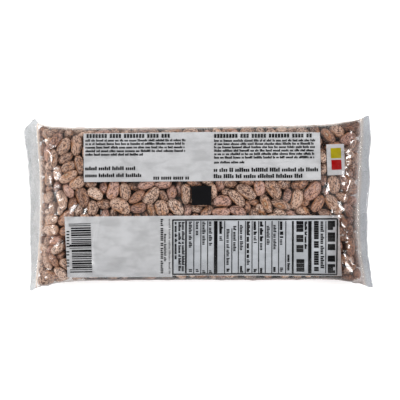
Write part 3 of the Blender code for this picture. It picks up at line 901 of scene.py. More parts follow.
def film_material():
    """Clear film: what is behind shows straight through, with a gloss that grows towards the edge of view."""
    n = Nodes("film_clear")
    co, inside, aside, right, bump, facing = film_parts(n, 150.0, 0.08, 0.0007)
    veil = n.add(
        "ShaderNodeTexNoise", {"Vector": co, "Scale": 55.0, "Detail": 3.0}
    ).outputs[0]
    edge = n.maths("POWER", facing, 4.5)
    gloss = n.maths("MULTIPLY_ADD", edge, 0.50, 0.031, clamp=True)
    dim = n.mix(
        n.maths("POWER", facing, 2.0), (0.965, 0.967, 0.97, 1), (0.46, 0.45, 0.445, 1)
    )
    edge_dull = n.ramp(aside, 0.93, 1.0)
    dim = n.mix(edge_dull, dim, n.mix(1.0, dim, (0.84, 0.83, 0.815, 1), "MULTIPLY"))
    # it goes hazier close to the seals, where it is creased and dusty
    near_end = n.ramp(inside, 4.0, 0.2)
    # painted shade: at the right end the see-through colour is darkened in two steps, the more so near the seal
    for far_in, near_in, shade in (
        (34.0, 10.0, (0.89, 0.875, 0.875, 1)),
        (14.0, 3.0, (0.82, 0.80, 0.80, 1)),
    ):
        dim = n.mix(
            n.maths("MULTIPLY", n.ramp(inside, far_in, near_in), right),
            dim,
            n.mix(1.0, dim, shade, "MULTIPLY"),
        )
    # painted shade: the see-through colour is darker still on the near side of the right end
    near_side = n.ramp(n.add("ShaderNodeSeparateXYZ", {0: co}).outputs[1], 0.012, -0.012)
    low_right_shade = n.maths("MULTIPLY", n.maths("MULTIPLY", near_side, right), n.ramp(inside, 26.0, 12.0))
    dim = n.mix(low_right_shade, dim, n.mix(1.0, dim, (0.86, 0.835, 0.82, 1), "MULTIPLY"))
    clear = n.add("ShaderNodeBsdfTransparent", {"Color": dim})
    by_seal = n.mix(right, (0.66, 0.515, 0.41, 1), (0.42, 0.38, 0.365, 1))
    dust = n.mix(near_end, (0.62, 0.61, 0.60, 1), by_seal)
    far_side = n.ramp(n.add("ShaderNodeSeparateXYZ", {0: co}).outputs[1], 0.0, 0.01)
    along_edge = n.mix(far_side, (0.36, 0.285, 0.265, 1), (0.66, 0.575, 0.51, 1))
    dust = n.mix(edge_dull, dust, along_edge)
    # the film's haze thickens where it is seen along its surface
    slanting = n.ramp(facing, 0.34, 0.62, 0.04, 1.0)
    haze = n.add("ShaderNodeBsdfDiffuse", {"Color": dust})
    share = n.maths("MULTIPLY", near_end, n.maths("MULTIPLY_ADD", right, -0.28, 0.40))
    share = n.maths("MULTIPLY_ADD", n.ramp(inside, 2.8, 0.2), 0.26, share)
    share = n.maths(
        "MULTIPLY_ADD", edge_dull, n.maths("MULTIPLY_ADD", far_side, 0.37, 0.20), share
    )
    share = n.maths("MULTIPLY_ADD", share, slanting, n.ramp(veil, 0.45, 0.75, 0.004, 0.05))
    share = n.maths("MULTIPLY_ADD", n.maths("POWER", facing, 3.0), 0.07, share)
    body = n.add("ShaderNodeMixShader", {0: share, 1: clear, 2: haze})
    mirror = n.add(
        "ShaderNodeBsdfGlossy",
        {"Color": (1, 1, 1, 1), "Roughness": 0.15, "Normal": bump},
    )
    both = n.add("ShaderNodeMixShader", {0: gloss, 1: body, 2: mirror})
    n.give(n.out.inputs["Surface"], both)
    return n.material


def seal_material():
    """Two films welded together: milky, faintly crimped, greyer at the right end."""
    n = Nodes("film_seal")
    co, inside, aside, right, bump, facing = film_parts(n, 260.0, 0.20, 0.0006)
    cloud = n.add(
        "ShaderNodeTexNoise", {"Vector": co, "Scale": 120.0, "Detail": 3.0}
    ).outputs[0]
    gloss = n.maths("MULTIPLY_ADD", n.maths("POWER", facing, 4.0), 0.5, 0.045, clamp=True)
    tint = n.mix(right, (0.845, 0.853, 0.857, 1), (0.775, 0.79, 0.81, 1))
    upright = n.add(
        "ShaderNodeVectorMath", {0: co, 1: (1.0, 0.22, 1.0)}, operation="MULTIPLY"
    ).outputs[0]
    streaks = n.add(
        "ShaderNodeTexNoise", {"Vector": upright, "Scale": 190.0, "Detail": 2.0, "Distortion": 0.5}
    ).outputs[0]
    tint = n.mix(
        n.ramp(streaks, 0.35, 0.65), tint, n.mix(1.0, tint, (0.93, 0.935, 0.94, 1), "MULTIPLY")
    )
    # warmer next to the beans at the right end, where the weld fades out
    by_line = n.maths("MULTIPLY", n.ramp(inside, -2.8, -0.2), right)
    tint = n.mix(by_line, tint, n.mix(1.0, tint, (0.97, 0.915, 0.865, 1), "MULTIPLY"))
    clear = n.add("ShaderNodeBsdfTransparent", {"Color": tint})
    milk = n.mix(right, (0.47, 0.48, 0.485, 1), (0.33, 0.335, 0.35, 1))
    milk = n.mix(by_line, milk, (0.39, 0.345, 0.31, 1))
    haze = n.add("ShaderNodeBsdfDiffuse", {"Color": milk, "Normal": bump})
    share = n.maths(
        "ADD", n.ramp(cloud, 0.3, 0.7, 0.20, 0.27), n.maths("MULTIPLY", right, 0.10)
    )
    body = n.add("ShaderNodeMixShader", {0: share, 1: clear, 2: haze})
    mirror = n.add(
        "ShaderNodeBsdfGlossy",
        {"Color": (1, 1, 1, 1), "Roughness": 0.14, "Normal": bump},
    )
    both = n.add("ShaderNodeMixShader", {0: gloss, 1: body, 2: mirror})
    n.give(n.out.inputs["Surface"], both)
    return n.material


def ink_material(name, colour, cover, wear=0.0, roughness=0.38, specular=0.25):
    """Ink on the film, with a little of what is behind it showing through."""
    n = Nodes(name)
    co = n.add("ShaderNodeTexCoord").outputs["Object"]
    cloud = n.add(
        "ShaderNodeTexNoise", {"Vector": co, "Scale": 90.0, "Detail": 3.0}
    ).outputs[0]
    grain = n.add(
        "ShaderNodeTexNoise", {"Vector": co, "Scale": 1400.0, "Detail": 2.0}
    ).outputs[0]
    darker = tuple(0.80 * c for c in colour[:3]) + (1,)
    # painted shade of the film's crumples: slanting crease-like noise, with the cloud's uneven tone, mixes the ink
    # towards a darker copy of itself
    slanted = n.add(
        "ShaderNodeMapping",
        {"Vector": co, "Rotation": (0.0, 0.0, 0.9), "Scale": (0.4, 1.0, 1.0)},
    ).outputs[0]
    creased = n.add(
        "ShaderNodeTexNoise",
        {"Vector": slanted, "Scale": 170.0, "Detail": 3.0, "Distortion": 0.8},
    ).outputs[0]
    tone_and_crumple_shade = n.maths("MULTIPLY_ADD", creased, 0.8, n.maths("MULTIPLY", cloud, 0.5))
    tint = n.mix(n.ramp(tone_and_crumple_shade, 0.46, 0.78), darker, colour)
    tint = n.mix(n.ramp(grain, 0.35, 0.65, 0.0, 0.10), tint, darker)
    # painted shade: a little darker towards the near side, where the bag curves away
    near_side = n.ramp(n.add("ShaderNodeSeparateXYZ", {0: co}).outputs[1], -0.030, -0.046)
    tint = n.mix(near_side, tint, n.mix(1.0, tint, (0.87, 0.87, 0.875, 1), "MULTIPLY"))
    bump = n.add(
        "ShaderNodeBump", {"Strength": 0.2, "Distance": 0.0002, "Height": cloud}
    )
    ink = n.add(
        "ShaderNodeBsdfPrincipled",
        {
            "Base Color": tint,
            "Roughness": roughness,
            "Specular IOR Level": specular,
            "Normal": bump,
        },
    )
    if cover >= 1.0:
        n.give(n.out.inputs["Surface"], ink)
        return n.material
    clear = n.add("ShaderNodeBsdfTransparent", {"Color": (1, 1, 1, 1)})
    share = n.ramp(cloud, 0.3, 0.7, cover - wear, cover)
    both = n.add("ShaderNodeMixShader", {0: share, 1: clear, 2: ink})
    n.give(n.out.inputs["Surface"], both)
    return n.material


# ---------------------------------------------------------------------------
# The beans as pieces
# ---------------------------------------------------------------------------
rng = np.random.default_rng(20)
FIELD = wall_field()
SIZES, MIDDLES, TURNS = settle_beans(rng, FIELD)

KINDS = (
    # name, share of the beans, pale, base, fleck, how strong the flecks are
    ("beans_tan", 0.42, (0.665, 0.447, 0.330, 1), (0.530, 0.333, 0.238, 1), (0.068, 0.030, 0.021, 1), 0.92),
    ("beans_pale", 0.26, (0.755, 0.548, 0.428, 1), (0.625, 0.424, 0.314, 1), (0.078, 0.036, 0.026, 1), 0.92),
    ("beans_brown", 0.17, (0.545, 0.300, 0.198, 1), (0.420, 0.222, 0.142, 1), (0.060, 0.024, 0.017, 1), 0.88),
    ("beans_pink", 0.15, (0.615, 0.372, 0.296, 1), (0.485, 0.276, 0.212, 1), (0.074, 0.033, 0.026, 1), 0.88),
)
depth_of_bean = depth_at(FIELD, MIDDLES)[0]
fine_shape = bean_shape(12, 18)
plain_shape = bean_shape(7, 10)
fine_map, plain_map = bean_map(12, 18), bean_map(7, 10)
kind_of = rng.choice(len(KINDS), BEANS, p=[k[1] for k in KINDS])
names = [k[0] for k in KINDS]
kind_of[: len(SHOWN)] = [names.index("beans_" + row[6]) for row in SHOWN]
outer_points, outer_faces, outer_total = [], [], 0

for kind, (name, _, pale, base, fleck, amount) in enumerate(KINDS):
    verts, loops, sizes, local, own, maps = [], [], [], [], [], []
    total = 0
    members = np.nonzero(kind_of == kind)[0]
    is_near = depth_of_bean[members] < 8.0
    # beans by the film get a large cell each, in rows from the foot of the map;
    # four of the others share one
    cells = int(np.count_nonzero(is_near)) + int(np.count_nonzero(~is_near)) / 4 + 1
    side = int(math.ceil(math.sqrt(cells)))
    large = small = 0
    for b, near_film in zip(members, is_near):
        unit, lp, sz = fine_shape if near_film else plain_shape
        q = bean_points(unit, SIZES[b], rng)
        turn = matrices(TURNS[b : b + 1])[0]
        world = q @ turn.T + MIDDLES[b]
        deep, inward = depth_at(FIELD, world)
        world = world + inward * np.clip(0.35 - deep, 0.0, 3.0)[:, None]
        low = np.minimum(world[:, 2] - 0.45, 0.0)
        world[:, 2] -= 0.92 * low
        verts.append(world)
        loops.append(lp + total)
        sizes.append(sz)
        local.append(q)
        own.append(
            np.tile([rng.random(), rng.uniform(20, 400), rng.random()], (len(q), 1))
        )
        if near_film:
            starts = np.concatenate([[0], np.cumsum(sz)[:-1]])
            for s, c in zip(starts, sz):
                outer_faces.append((lp[s : s + c] + outer_total).tolist())
            outer_points.append(world)
            outer_total += len(q)
        total += len(q)
        if near_film:
            at, size = np.array(divmod(large, side)), 1.0
            large += 1
        else:
            cell, part = divmod(small, 4)
            at = np.array(divmod(side * side - 1 - cell, side)) + np.divmod(part, 2) * np.array([0.5, 0.5])
            size = 0.5
            small += 1
        maps.append((at + size * (0.05 + 0.90 * (fine_map if near_film else plain_map))) / side)
    me = make_mesh(
        name, np.concatenate(verts), np.concatenate(loops), np.concatenate(sizes)
    )
    for attribute, values in (("bean_co", local), ("bean_own", own)):
        at = me.attributes.new(attribute, "FLOAT_VECTOR", "POINT")
        at.data.foreach_set("vector", np.concatenate(values).astype("f").ravel())
    give_map(me, np.concatenate(maps))
    add_piece(name, me, [bean_material(name, pale, base, fleck, amount)])

BEAN_TREE = BVHTree.FromPolygons(
    np.concatenate(outer_points).tolist(), outer_faces, epsilon=0.0
)

# ---------------------------------------------------------------------------
# The film
# ---------------------------------------------------------------------------
ABOVE, BELOW = 196, 84  # points round the film, far side first, over the top
ROUND = ABOVE + BELOW


def film_places():
    half = LENGTH / 2
    line = half - SEAL_DEPTH
    right = [half - SEAL_DEPTH * i / 9 for i in range(9)]
    right += [line - 0.35 * i for i in range(4)]
    x = line - 1.4
    while x > 72.0:
        right.append(x)
        x -= 0.66
    count = int(math.ceil(2 * x / 0.90))
    middle = list(np.linspace(-x, x, count + 1))
    right = sorted(right)
    return np.array([-v for v in reversed(right)] + middle + right)


def grid_normals(p):
    along = np.gradient(p, axis=0)
    around = np.roll(p, -1, 1) - np.roll(p, 1, 1)
    n = np.cross(around, along)
    n /= np.maximum(np.linalg.norm(n, axis=2), 1e-9)[..., None]
    mid = p.mean(1, keepdims=True)
    if ((p - mid) * n).sum() < 0:
        n = -n
    return n


# creases of the film over the top: height and half width in mm, and the line
# by the photograph's pixels
CREASES = (
    (0.9, 1.1, ((41, 143), (47, 139), (53, 137))),
    (0.8, 1.0, ((47, 148), (51, 152), (54, 158))),
    (0.6, 1.2, ((50, 172), (52, 182), (50, 191))),
    (0.9, 1.1, ((45, 209), (50, 204), (56, 202))),
    (0.8, 1.0, ((58, 207), (63, 203), (67, 201))),
    (1.0, 1.2, ((67, 216), (72, 209), (78, 203))),
    (0.7, 1.0, ((83, 216), (86, 211), (88, 207))),
    (0.5, 1.0, ((66, 209), (66, 222), (67, 240))),
    (0.6, 1.3, ((53, 250), (57, 245), (63, 241))),
    (0.7, 1.1, ((99, 206), (97, 222), (93, 250), (97, 276))),
    (0.9, 1.0, ((350, 146), (352, 142), (355, 138))),
    (1.1, 1.3, ((344, 160), (347, 154), (352, 149))),
    (0.8, 1.1, ((346, 152), (350, 156), (351, 160))),
    (1.0, 1.0, ((345, 170), (349, 175), (350, 180), (347, 190), (344, 200))),
    (0.9, 1.1, ((326, 181), (328, 188), (327, 195))),
    (0.8, 0.9, ((332, 216), (332, 209), (337, 204), (345, 202))),
    (1.0, 1.2, ((339, 206), (342, 209), (345, 213))),
    (0.8, 0.9, ((339, 219), (342, 223), (346, 229))),
    (1.1, 1.4, ((343, 254), (346, 262), (350, 268), (355, 273))),
)


# the soft lights: place, size and power
LIGHTS = {
    "soft_left": ((-1.0, 0.15, 0.80), (0.34, 0.15), 5.2),
    "soft_right": ((1.05, 0.05, 0.72), (0.36, 0.16), 7.7),
    "soft_far_left": ((-0.80, 0.72, 0.78), (0.26, 0.16), 4.5),
    "soft_far_right": ((0.84, 0.66, 0.78), (0.26, 0.16), 4.5),
    "soft_near_left": ((-0.78, -0.72, 0.78), (0.26, 0.16), 4.5),
    "soft_near_right": ((0.82, -0.68, 0.78), (0.26, 0.16), 4.5),
}
# small facets of the film that catch a light: middle, length and width in the
# photograph's pixels, turn in degrees, the light
FACETS = (
    (45.0, 140.6, 7.0, 3.2, 168, "soft_far_left"),
    (48.6, 151.5, 7.0, 2.4, 140, "soft_left"),
    (51.4, 158.5, 9.0, 2.6, 98, "soft_left"),
    (50.2, 181.0, 11.0, 2.6, 105, "soft_left"),
    (61.0, 200.0, 7.0, 2.6, 30, "soft_far_left"),
    (49.5, 207.0, 9.0, 2.8, 35, "soft_left"),
    (62.5, 207.5, 8.0, 3.0, 30, "soft_far_left"),
    (73.3, 210.0, 13.0, 4.4, 52, "soft_far_left"),
    (85.4, 212.0, 9.0, 3.2, 60, "soft_far_left"),
    (96.5, 195.0, 7.0, 2.6, 35, "soft_far_left"),
    (58.0, 245.0, 11.0, 2.4, 50, "soft_left"),
    (101.5, 212.0, 8.0, 2.8, 90, "soft_left"),
    (348.0, 151.2, 9.0, 2.8, 28, "soft_right"),
    (348.2, 156.8, 8.5, 3.2, 35, "soft_right"),
    (351.8, 142.0, 7.5, 2.4, 40, "soft_far_right"),
    (347.8, 174.8, 7.5, 2.4, 125, "soft_right"),
    (349.7, 181.0, 7.0, 2.4, 90, "soft_right"),
    (347.4, 188.5, 10.0, 2.5, 70, "soft_right"),
    (344.8, 197.5, 9.0, 2.4, 76, "soft_right"),
    (327.0, 189.0, 12.5, 4.0, 76, "soft_right"),
    (341.3, 208.0, 9.0, 4.6, 140, "soft_right"),
    (332.2, 210.5, 8.0, 2.4, 98, "soft_left"),
    (343.0, 226.0, 8.0, 2.4, 135, "soft_right"),
    (345.0, 255.0, 6.0, 2.8, 120, "soft_near_right"),
    (348.3, 267.0, 14.0, 4.8, 128, "soft_near_right"),
)


def catching_slope(spot, light):
    """The slopes along X and Y of a surface that mirrors the light up to the camera."""
    to_light = np.array(LIGHTS[light][0]) * 1000.0 - spot
    to_eye = EYE - spot
    half = to_light / np.linalg.norm(to_light) + to_eye / np.linalg.norm(to_eye)
    return -half[0] / half[2], -half[1] / half[2]


def add_facets(film, n):
    px, py = to_pixel(film)
    shows = n[..., 2] > 0.1
    for cx, cy, long, wide, turn, light in FACETS:
        c, s = math.cos(math.radians(turn)), math.sin(math.radians(turn))
        along = (px - cx) * c - (py - cy) * s
        across = (px - cx) * s + (py - cy) * c
        # the width dies away to both ends
        end = np.clip(1 - (2 * along / long) ** 2, 0.0, 1.0) ** 0.5
        off = np.maximum(np.abs(across) - 0.5 * wide * end, 0.0)
        off = np.hypot(off, np.maximum(np.abs(along) - 0.5 * long, 0.0))
        share = np.clip(1.2 - off / 1.5, 0.0, 1.0)
        share = np.where(shows, share * share * (3 - 2 * share), 0.0)
        core = share > 0.9
        if core.sum() < 3:
            continue
        spot = film[core].mean(0)
        sx, sy = catching_slope(spot, light)
        plane = spot[2] + sx * (film[..., 0] - spot[0]) + sy * (film[..., 1] - spot[1])
        above = film[..., 2] - plane
        plane = plane + np.percentile(above[core], 90)
        film[..., 2] += 0.97 * share * (plane - film[..., 2])
    return film


def crease(px, py, line, wide):
    """1 on a crease's crest, falling to 0 on both sides and at its ends."""
    best = np.full(px.shape, 99.0)
    fade = np.zeros(px.shape)
    pts = np.array(line, float)
    steps = np.linalg.norm(np.diff(pts, axis=0), axis=1)
    ways = np.concatenate([[0], np.cumsum(steps)])
    for k in range(len(pts) - 1):
        a, b = pts[k], pts[k + 1]
        t = ((px - a[0]) * (b[0] - a[0]) + (py - a[1]) * (b[1] - a[1])) / steps[k] ** 2
        t = np.clip(t, 0, 1)
        d = np.hypot(px - a[0] - t * (b[0] - a[0]), py - a[1] - t * (b[1] - a[1]))
        way = (ways[k] + t * steps[k]) / ways[-1]
        closer = d < best
        best = np.where(closer, d, best)
        fade = np.where(closer, np.clip(np.minimum(way, 1 - way) / 0.22, 0, 1), fade)
    fade = fade * fade * (3 - 2 * fade)
    return np.exp(-np.abs(best * PIXEL / wide) ** 1.6) * (0.15 + 0.85 * fade)


def end_folds(end):
    """Small folds that run in from a seal: height, half width, place, reach, lean, side."""
    folds = np.random.default_rng(5 + end)
    out = []
    for below in (False, True):
        at = -52.0
        while at < 52.0:
            out.append(
                (
                    folds.uniform(0.3, 1.0),
                    folds.uniform(0.7, 1.5),
                    at,
                    folds.uniform(5.0, 15.0),
                    folds.uniform(-0.45, 0.45),
                    below,
                )
            )
            at += folds.uniform(3.5, 9.0)
    return out


def make_film():
    xs = film_places()
    p = placed(even_rings(xs, ABOVE, BELOW), SHIFT)
    # the corners are a little rounded, the far left one most
    tip = np.exp(-(((LENGTH / 2 - np.abs(xs)) / 1.7) ** 2))[:, None]
    tip = tip * np.clip(np.abs(p[..., 1]) / 59.0, 0.0, 1.0) ** 9
    much = np.where((p[..., 0] < 0) & (p[..., 1] > 0), 1.8, 0.8)
    p[..., 1] -= np.sign(p[..., 1]) * much * tip
    n = grid_normals(p)
    rows = len(xs)
    clear = 0.38  # from the beans to the film
    start = 5.0
    depth = np.full((rows, ROUND), -9.0)
    body = from_seal(xs) > 0.2
    for i in np.nonzero(body)[0]:
        for j in range(ROUND):
            a = p[i, j] + n[i, j] * start
            hit = BEAN_TREE.ray_cast(Vector(a), Vector(-n[i, j]), 16.0)
            if hit[0] is not None:
                depth[i, j] = start - hit[3] + clear
    # drawn in between the beans like a skin, and never through them
    inset = from_seal(xs)
    slack = np.where(body, np.clip(inset / 10.0, 0.0, 1.0), 0.0)[:, None]
    r = np.maximum(np.zeros_like(depth), depth)
    for step in range(700):
        mean = (
            np.roll(r, 1, 1) + np.roll(r, -1, 1)
            + np.vstack([r[:1], r[:-1]]) + np.vstack([r[1:], r[-1:]])
        ) / 4
        r = r + 0.9 * (mean - r) - 0.0014 * slack
        r = np.maximum(r, depth)
        r[~body] = 0.0
    # creases stand up from that, where the film is slack
    line_x, line_y = to_pixel(p + n * r[..., None])
    crest = np.zeros_like(r)
    for height, wide, line in CREASES:
        lift = crease(line_x, line_y, line, wide)
        crest = np.where(n[..., 2] > 0.1, np.maximum(crest, height * lift), crest)
    for i_end in (-1, 1):
        for height, wide, start_at, reach, turn, below in end_folds(i_end):
            a = xs * i_end
            d = from_seal(xs)[:, None]
            across = p[..., 1] - start_at - turn * d
            lift = np.exp(-((across / wide) ** 2)) * np.exp(-((d / reach) ** 2))
            side = (n[..., 2] < 0) if below else (n[..., 2] >= 0)
            here = side & (a[:, None] > 0) & (d > 0)
            crest = np.where(here, np.maximum(crest, height * lift), crest)
    inner = np.clip(inset / 2.0, 0.0, 1.0)[:, None]
    r = np.where(body[:, None], r + crest * inner, r)
    film = add_facets(p + n * r[..., None], n)
    film[..., 2] = np.maximum(film[..., 2], 0.05)
    return xs, p, n, r, film


FILM_X, FILM_BASE, FILM_NORMAL, FILM_RISE, FILM = make_film()
print("film rise", FILM_RISE.min(), FILM_RISE.max())


def film_piece():
    rows = len(FILM_X)
    faces = grid_faces(rows, ROUND, True)
    row_of = faces[:, 0] // ROUND
    mid = (FILM_X[row_of] + FILM_X[np.minimum(row_of + 1, rows - 1)]) / 2
    index = (from_seal(mid) < 0).astype(int)
    loops, sizes = faces.ravel().tolist(), [4] * len(faces)
    index = index.tolist()
    for ring, flip in ((0, True), (rows - 1, False)):
        rim = [ring * ROUND + i for i in range(ROUND)]
        if flip:
            rim.reverse()
        loops += rim
        sizes.append(ROUND)
        index.append(1)
    me = make_mesh("film", FILM.reshape(-1, 3), loops, sizes, index)
    rise_of = np.repeat(from_seal(FILM_X)[:, None], ROUND, 1)
    base_x = np.repeat(FILM_X[:, None], ROUND, 1)
    base_y = FILM_BASE[..., 1] + SHIFT[1]
    reach = np.where(
        base_y > 0, half_width(base_x, "far"), half_width(base_x, "near")
    )
    values = np.stack([rise_of, np.abs(base_y) / reach, (base_x > 0) * 1.0], -1)
    at = me.attributes.new("bag_at", "FLOAT_VECTOR", "POINT")
    at.data.foreach_set("vector", values.astype("f").ravel())
    # laid flat, with the two cut rims in a strip beside it
    flat = grid_map(np.arange(len(faces)) // ROUND, np.arange(len(faces)) % ROUND, rows, ROUND)
    flat[:, 0] *= 0.985
    rims = []
    for ring in (0, rows - 1):
        k = np.arange(ROUND)
        v = np.where(k < ABOVE, k / ABOVE, 1 - (k - ABOVE) / BELOW)
        u = 0.989 + 0.006 * (ring > 0) + np.where(k < ABOVE, 0.002, -0.002) * np.sin(np.pi * v)
        rim = np.stack([u, 0.02 + 0.96 * v], 1)
        rims.append(rim[::-1] if ring else rim)
    give_map(me, np.concatenate([flat] + rims))
    return add_piece("film", me, [film_material(), seal_material()])


film_ob = film_piece()
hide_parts("bag")

# ---------------------------------------------------------------------------
# Camera, straight above, at the photograph's frame of 400 by 400
# ---------------------------------------------------------------------------
camera_data = bpy.data.cameras.new("camera")
camera_data.sensor_width = 36.0
camera_data.lens = 36.0 * (EYE[2] - OUTLINE_HEIGHT) / (400 * PIXEL)
camera_data.clip_start, camera_data.clip_end = 0.05, 20.0
camera = bpy.data.objects.new("camera", camera_data)
camera.location = EYE * 0.001
camera.rotation_euler = (0.0, 0.0, -ROLL)
bpy.context.scene.collection.objects.link(camera)
bpy.context.scene.camera = camera


# ---------------------------------------------------------------------------
# Print, laid out by the photograph's pixels and dropped onto the film
# ---------------------------------------------------------------------------
FILM_TREE = tree_of(FILM.reshape(-1, 3), grid_faces(len(FILM_X), ROUND, True))


def onto_film(px, py, under):
    """The point of the film that the photograph shows at a pixel, in mm, a little under its surface."""
    dx, dy = (px - 200.0) * PER_PIXEL, (200.0 - py) * PER_PIXEL
    c, s = math.cos(-ROLL), math.sin(-ROLL)
    way = Vector((dx * c - dy * s, dx * s + dy * c, -1.0)).normalized()
    hit, normal, _, _ = FILM_TREE.ray_cast(Vector(EYE), way, 2000.0)
    if hit is None:
        return None
    if normal.dot(way) > 0:
        normal = -normal
    return np.array(hit - normal * under)


class Print:
    """Shapes of one ink, gathered into one mesh."""

    def __init__(self, name, material, slot, under, step):
        self.name, self.material, self.slot = name, material, slot
        self.under, self.step = under, step
        self.verts, self.loops, self.sizes = [], [], []

    def quad(self, corners):
        """A four-sided field, its corners in pixels, in order round it."""
        a, b, c, d = [np.array(v, float) for v in corners]
        wide = max(np.linalg.norm(b - a), np.linalg.norm(c - d))
        high = max(np.linalg.norm(d - a), np.linalg.norm(c - b))
        nx = max(1, int(math.ceil(wide / self.step)))
        ny = max(1, int(math.ceil(high / self.step)))
        base = len(self.verts)
        for j in range(ny + 1):
            for i in range(nx + 1):
                u, v = i / nx, j / ny
                q = (a * (1 - u) + b * u) * (1 - v) + (d * (1 - u) + c * u) * v
                spot = onto_film(q[0], q[1], self.under)
                if spot is None:
                    spot = np.array([0.0, 0.0, 10.0])
                self.verts.append(spot)
        for j in range(ny):
            for i in range(nx):
                k = base + j * (nx + 1) + i
                self.loops += [k + nx + 1, k + nx + 2, k + 1, k]
                self.sizes.append(4)

    def rect(self, x0, y0, x1, y1):
        self.quad([(x0, y0), (x1, y0), (x1, y1), (x0, y1)])

    def piece(self):
        me = make_mesh(self.name, np.array(self.verts), self.loops, self.sizes)
        spots = np.array(self.verts)[self.loops][:, :2]
        give_map(me, (spots - spots.min(0)) / (spots.max(0) - spots.min(0)).max())
        return add_piece(self.name, me, [self.material])


white = Print(
    "print_white",
    ink_material("ink_white", (0.605, 0.606, 0.615, 1), 0.93, 0.05),
    "panel_print",
    0.24,
    0.9,
)
white.quad([(83.5, 133.4), (203.0, 131.7), (203.0, 181.1), (83.8, 182.0)])
white.quad([(203.0, 131.7), (320.0, 132.2), (321.0, 179.9), (203.0, 181.1)])
white.quad([(64.2, 216.7), (172.4, 215.8), (172.4, 277.4), (67.6, 277.8)])
white.quad([(172.4, 215.8), (203.0, 215.5), (203.0, 275.7), (172.4, 275.9)])
white.quad([(203.0, 215.5), (339.0, 215.5), (341.9, 276.2), (203.0, 275.7)])
white.quad([(326.3, 144.3), (344.0, 143.8), (345.4, 174.6), (327.6, 175.4)])
white.piece()
# the field inside the table's frame is a bluer grey
table = Print(
    "print_table",
    ink_material("ink_table", (0.505, 0.522, 0.548, 1), 0.97, 0.03),
    "panel_print",
    0.18,
    0.9,
)
table.quad([(172.8, 220.0), (203.0, 219.8), (203.0, 274.1), (172.8, 274.4)])
table.quad([(203.0, 219.8), (337.4, 218.9), (336.7, 274.7), (203.0, 274.1)])
table.piece()

yellow = Print(
    "print_yellow",
    ink_material("ink_yellow", (0.405, 0.335, 0.002, 1), 1.0, specular=0.01),
    "yellow_print",
    0.13,
    0.9,
)
yellow.quad([(330.6, 148.0), (341.0, 147.8), (341.3, 158.0), (331.0, 158.3)])
yellow.piece()
red = Print(
    "print_red",
    ink_material("ink_red", (0.36, 0.0004, 0.0008, 1), 1.0, specular=0.01),
    "red_print",
    0.13,
    0.9,
)
red.quad([(331.4, 159.9), (341.4, 159.6), (341.8, 169.5), (331.8, 169.9)])
red.piece()

black = Print(
    "print_black",
    ink_material("ink_black", (0.003, 0.003, 0.004, 1), 1.0, roughness=0.5, specular=0.06),
    "dark_print",
    0.10,
    0.9,
)


def tilt(x, y):
    """The print runs a little uphill to the right."""
    return y - (x - 200.0) * 0.0045


def marks(target, start, end, middle, tall, pitch, fill=0.66, down=False, even=0.0):
    """A row of small plain blocks in groups, as far as small print goes here.

    It runs along X, or down the page as a column. Blocks are pitch apart, fill
    of that wide, and stand on one line at differing heights.
    """
    at = start
    while at < end - pitch:
        count = int(rng.integers(2, 9))
        for _ in range(count):
            if at + pitch * fill > end:
                break
            reach = tall * (1.0 if rng.random() < 0.30 + even else 0.72)
            a, b = at, at + pitch * fill
            if down:
                low = middle - tall / 2
                x0, x1 = low, low + reach
                target.quad([(x0, a), (x1, a), (x1, b), (x0, b)])
            else:
                foot = middle + tall / 2
                target.quad(
                    [
                        (a, tilt(a, foot - reach)),
                        (b, tilt(b, foot - reach)),
                        (b, tilt(b, foot)),
                        (a, tilt(a, foot)),
                    ]
                )
            at += pitch
        at += pitch * 0.75


# the upper panel, left
marks(black, 86.5, 171.0, 135.5, 4.0, 3.0, 0.74, even=0.7)
for y, end in ((139.9, 185.5), (143.3, 185.5), (146.9, 185.5), (150.5, 185.5), (154.0, 143.6)):
    marks(black, 85.4, end, y, 2.5, 1.25, 0.74)
marks(black, 85.2, 137.0, 167.9, 3.8, 2.0, 0.72, even=0.1)
marks(black, 85.2, 142.6, 174.9, 3.8, 2.0, 0.72, even=0.1)
marks(black, 153.4, 189.6, 178.0, 3.0, 2.1, 0.66, even=0.7)
# the upper panel, right
marks(black, 214.2, 313.4, 135.9, 4.0, 3.0, 0.74, even=0.7)
for y, end in (
    (140.6, 315.2),
    (143.9, 314.0),
    (147.2, 315.2),
    (150.6, 314.4),
    (154.0, 314.6),
    (157.5, 315.2),
    (162.3, 246.6),
):
    marks(black, 214.2, end, y, 2.5, 1.25, 0.74)
marks(black, 213.7, 318.6, 169.9, 4.1, 2.1, 0.72, even=0.1)
marks(black, 213.7, 303.6, 176.2, 4.1, 2.1, 0.72, even=0.1)
# the square mark
black.quad([(191.6, 186.0), (211.2, 185.7), (211.4, 205.1), (191.8, 205.4)])

# plain bars, the long way across the bag, that carry no number
y = 223.6
long_bars = (0, 1, 10, 11, 21, 22)
for k in range(23):
    tall = (0.75, 1.2, 1.75, 0.85, 2.25, 0.75, 1.4)[(3 * k + k // 4) % 7]
    first = 68.6 if k in long_bars else 70.8
    lean = 0.035 * (y - 225.0)
    black.quad(
        [
            (first + lean, y + 0.2),
            (90.6 + lean, y - 0.2),
            (90.6 + lean, y + tall - 0.2),
            (first + lean, y + tall + 0.2),
        ]
    )
    y += tall + (1.0, 0.75, 1.3, 0.65, 0.85)[(2 * k) % 5]
marks(black, 231.0, 269.0, 67.9, 2.8, 3.0, 0.42, down=True, even=0.7)

# columns of small print beside the table
marks(black, 219.0, 275.4, 161.9, 2.6, 1.9, 0.68, down=True, even=0.4)
marks(black, 234.0, 264.0, 165.2, 2.3, 1.5, 0.66, down=True)
marks(black, 219.2, 274.6, 169.6, 1.9, 1.3, 0.45, down=True)

# the table: its frame, its bars and lines, and the entries between them
TABLE_TOP, TABLE_FOOT = 219.4, 274.2


def rule(x, wide, y0=None, y1=None):
    y0 = TABLE_TOP + 1.6 if y0 is None else y0
    y1 = TABLE_FOOT - 0.8 if y1 is None else y1
    black.quad([(x, y0), (x + wide, y0), (x + wide - 0.2, y1), (x - 0.2, y1)])


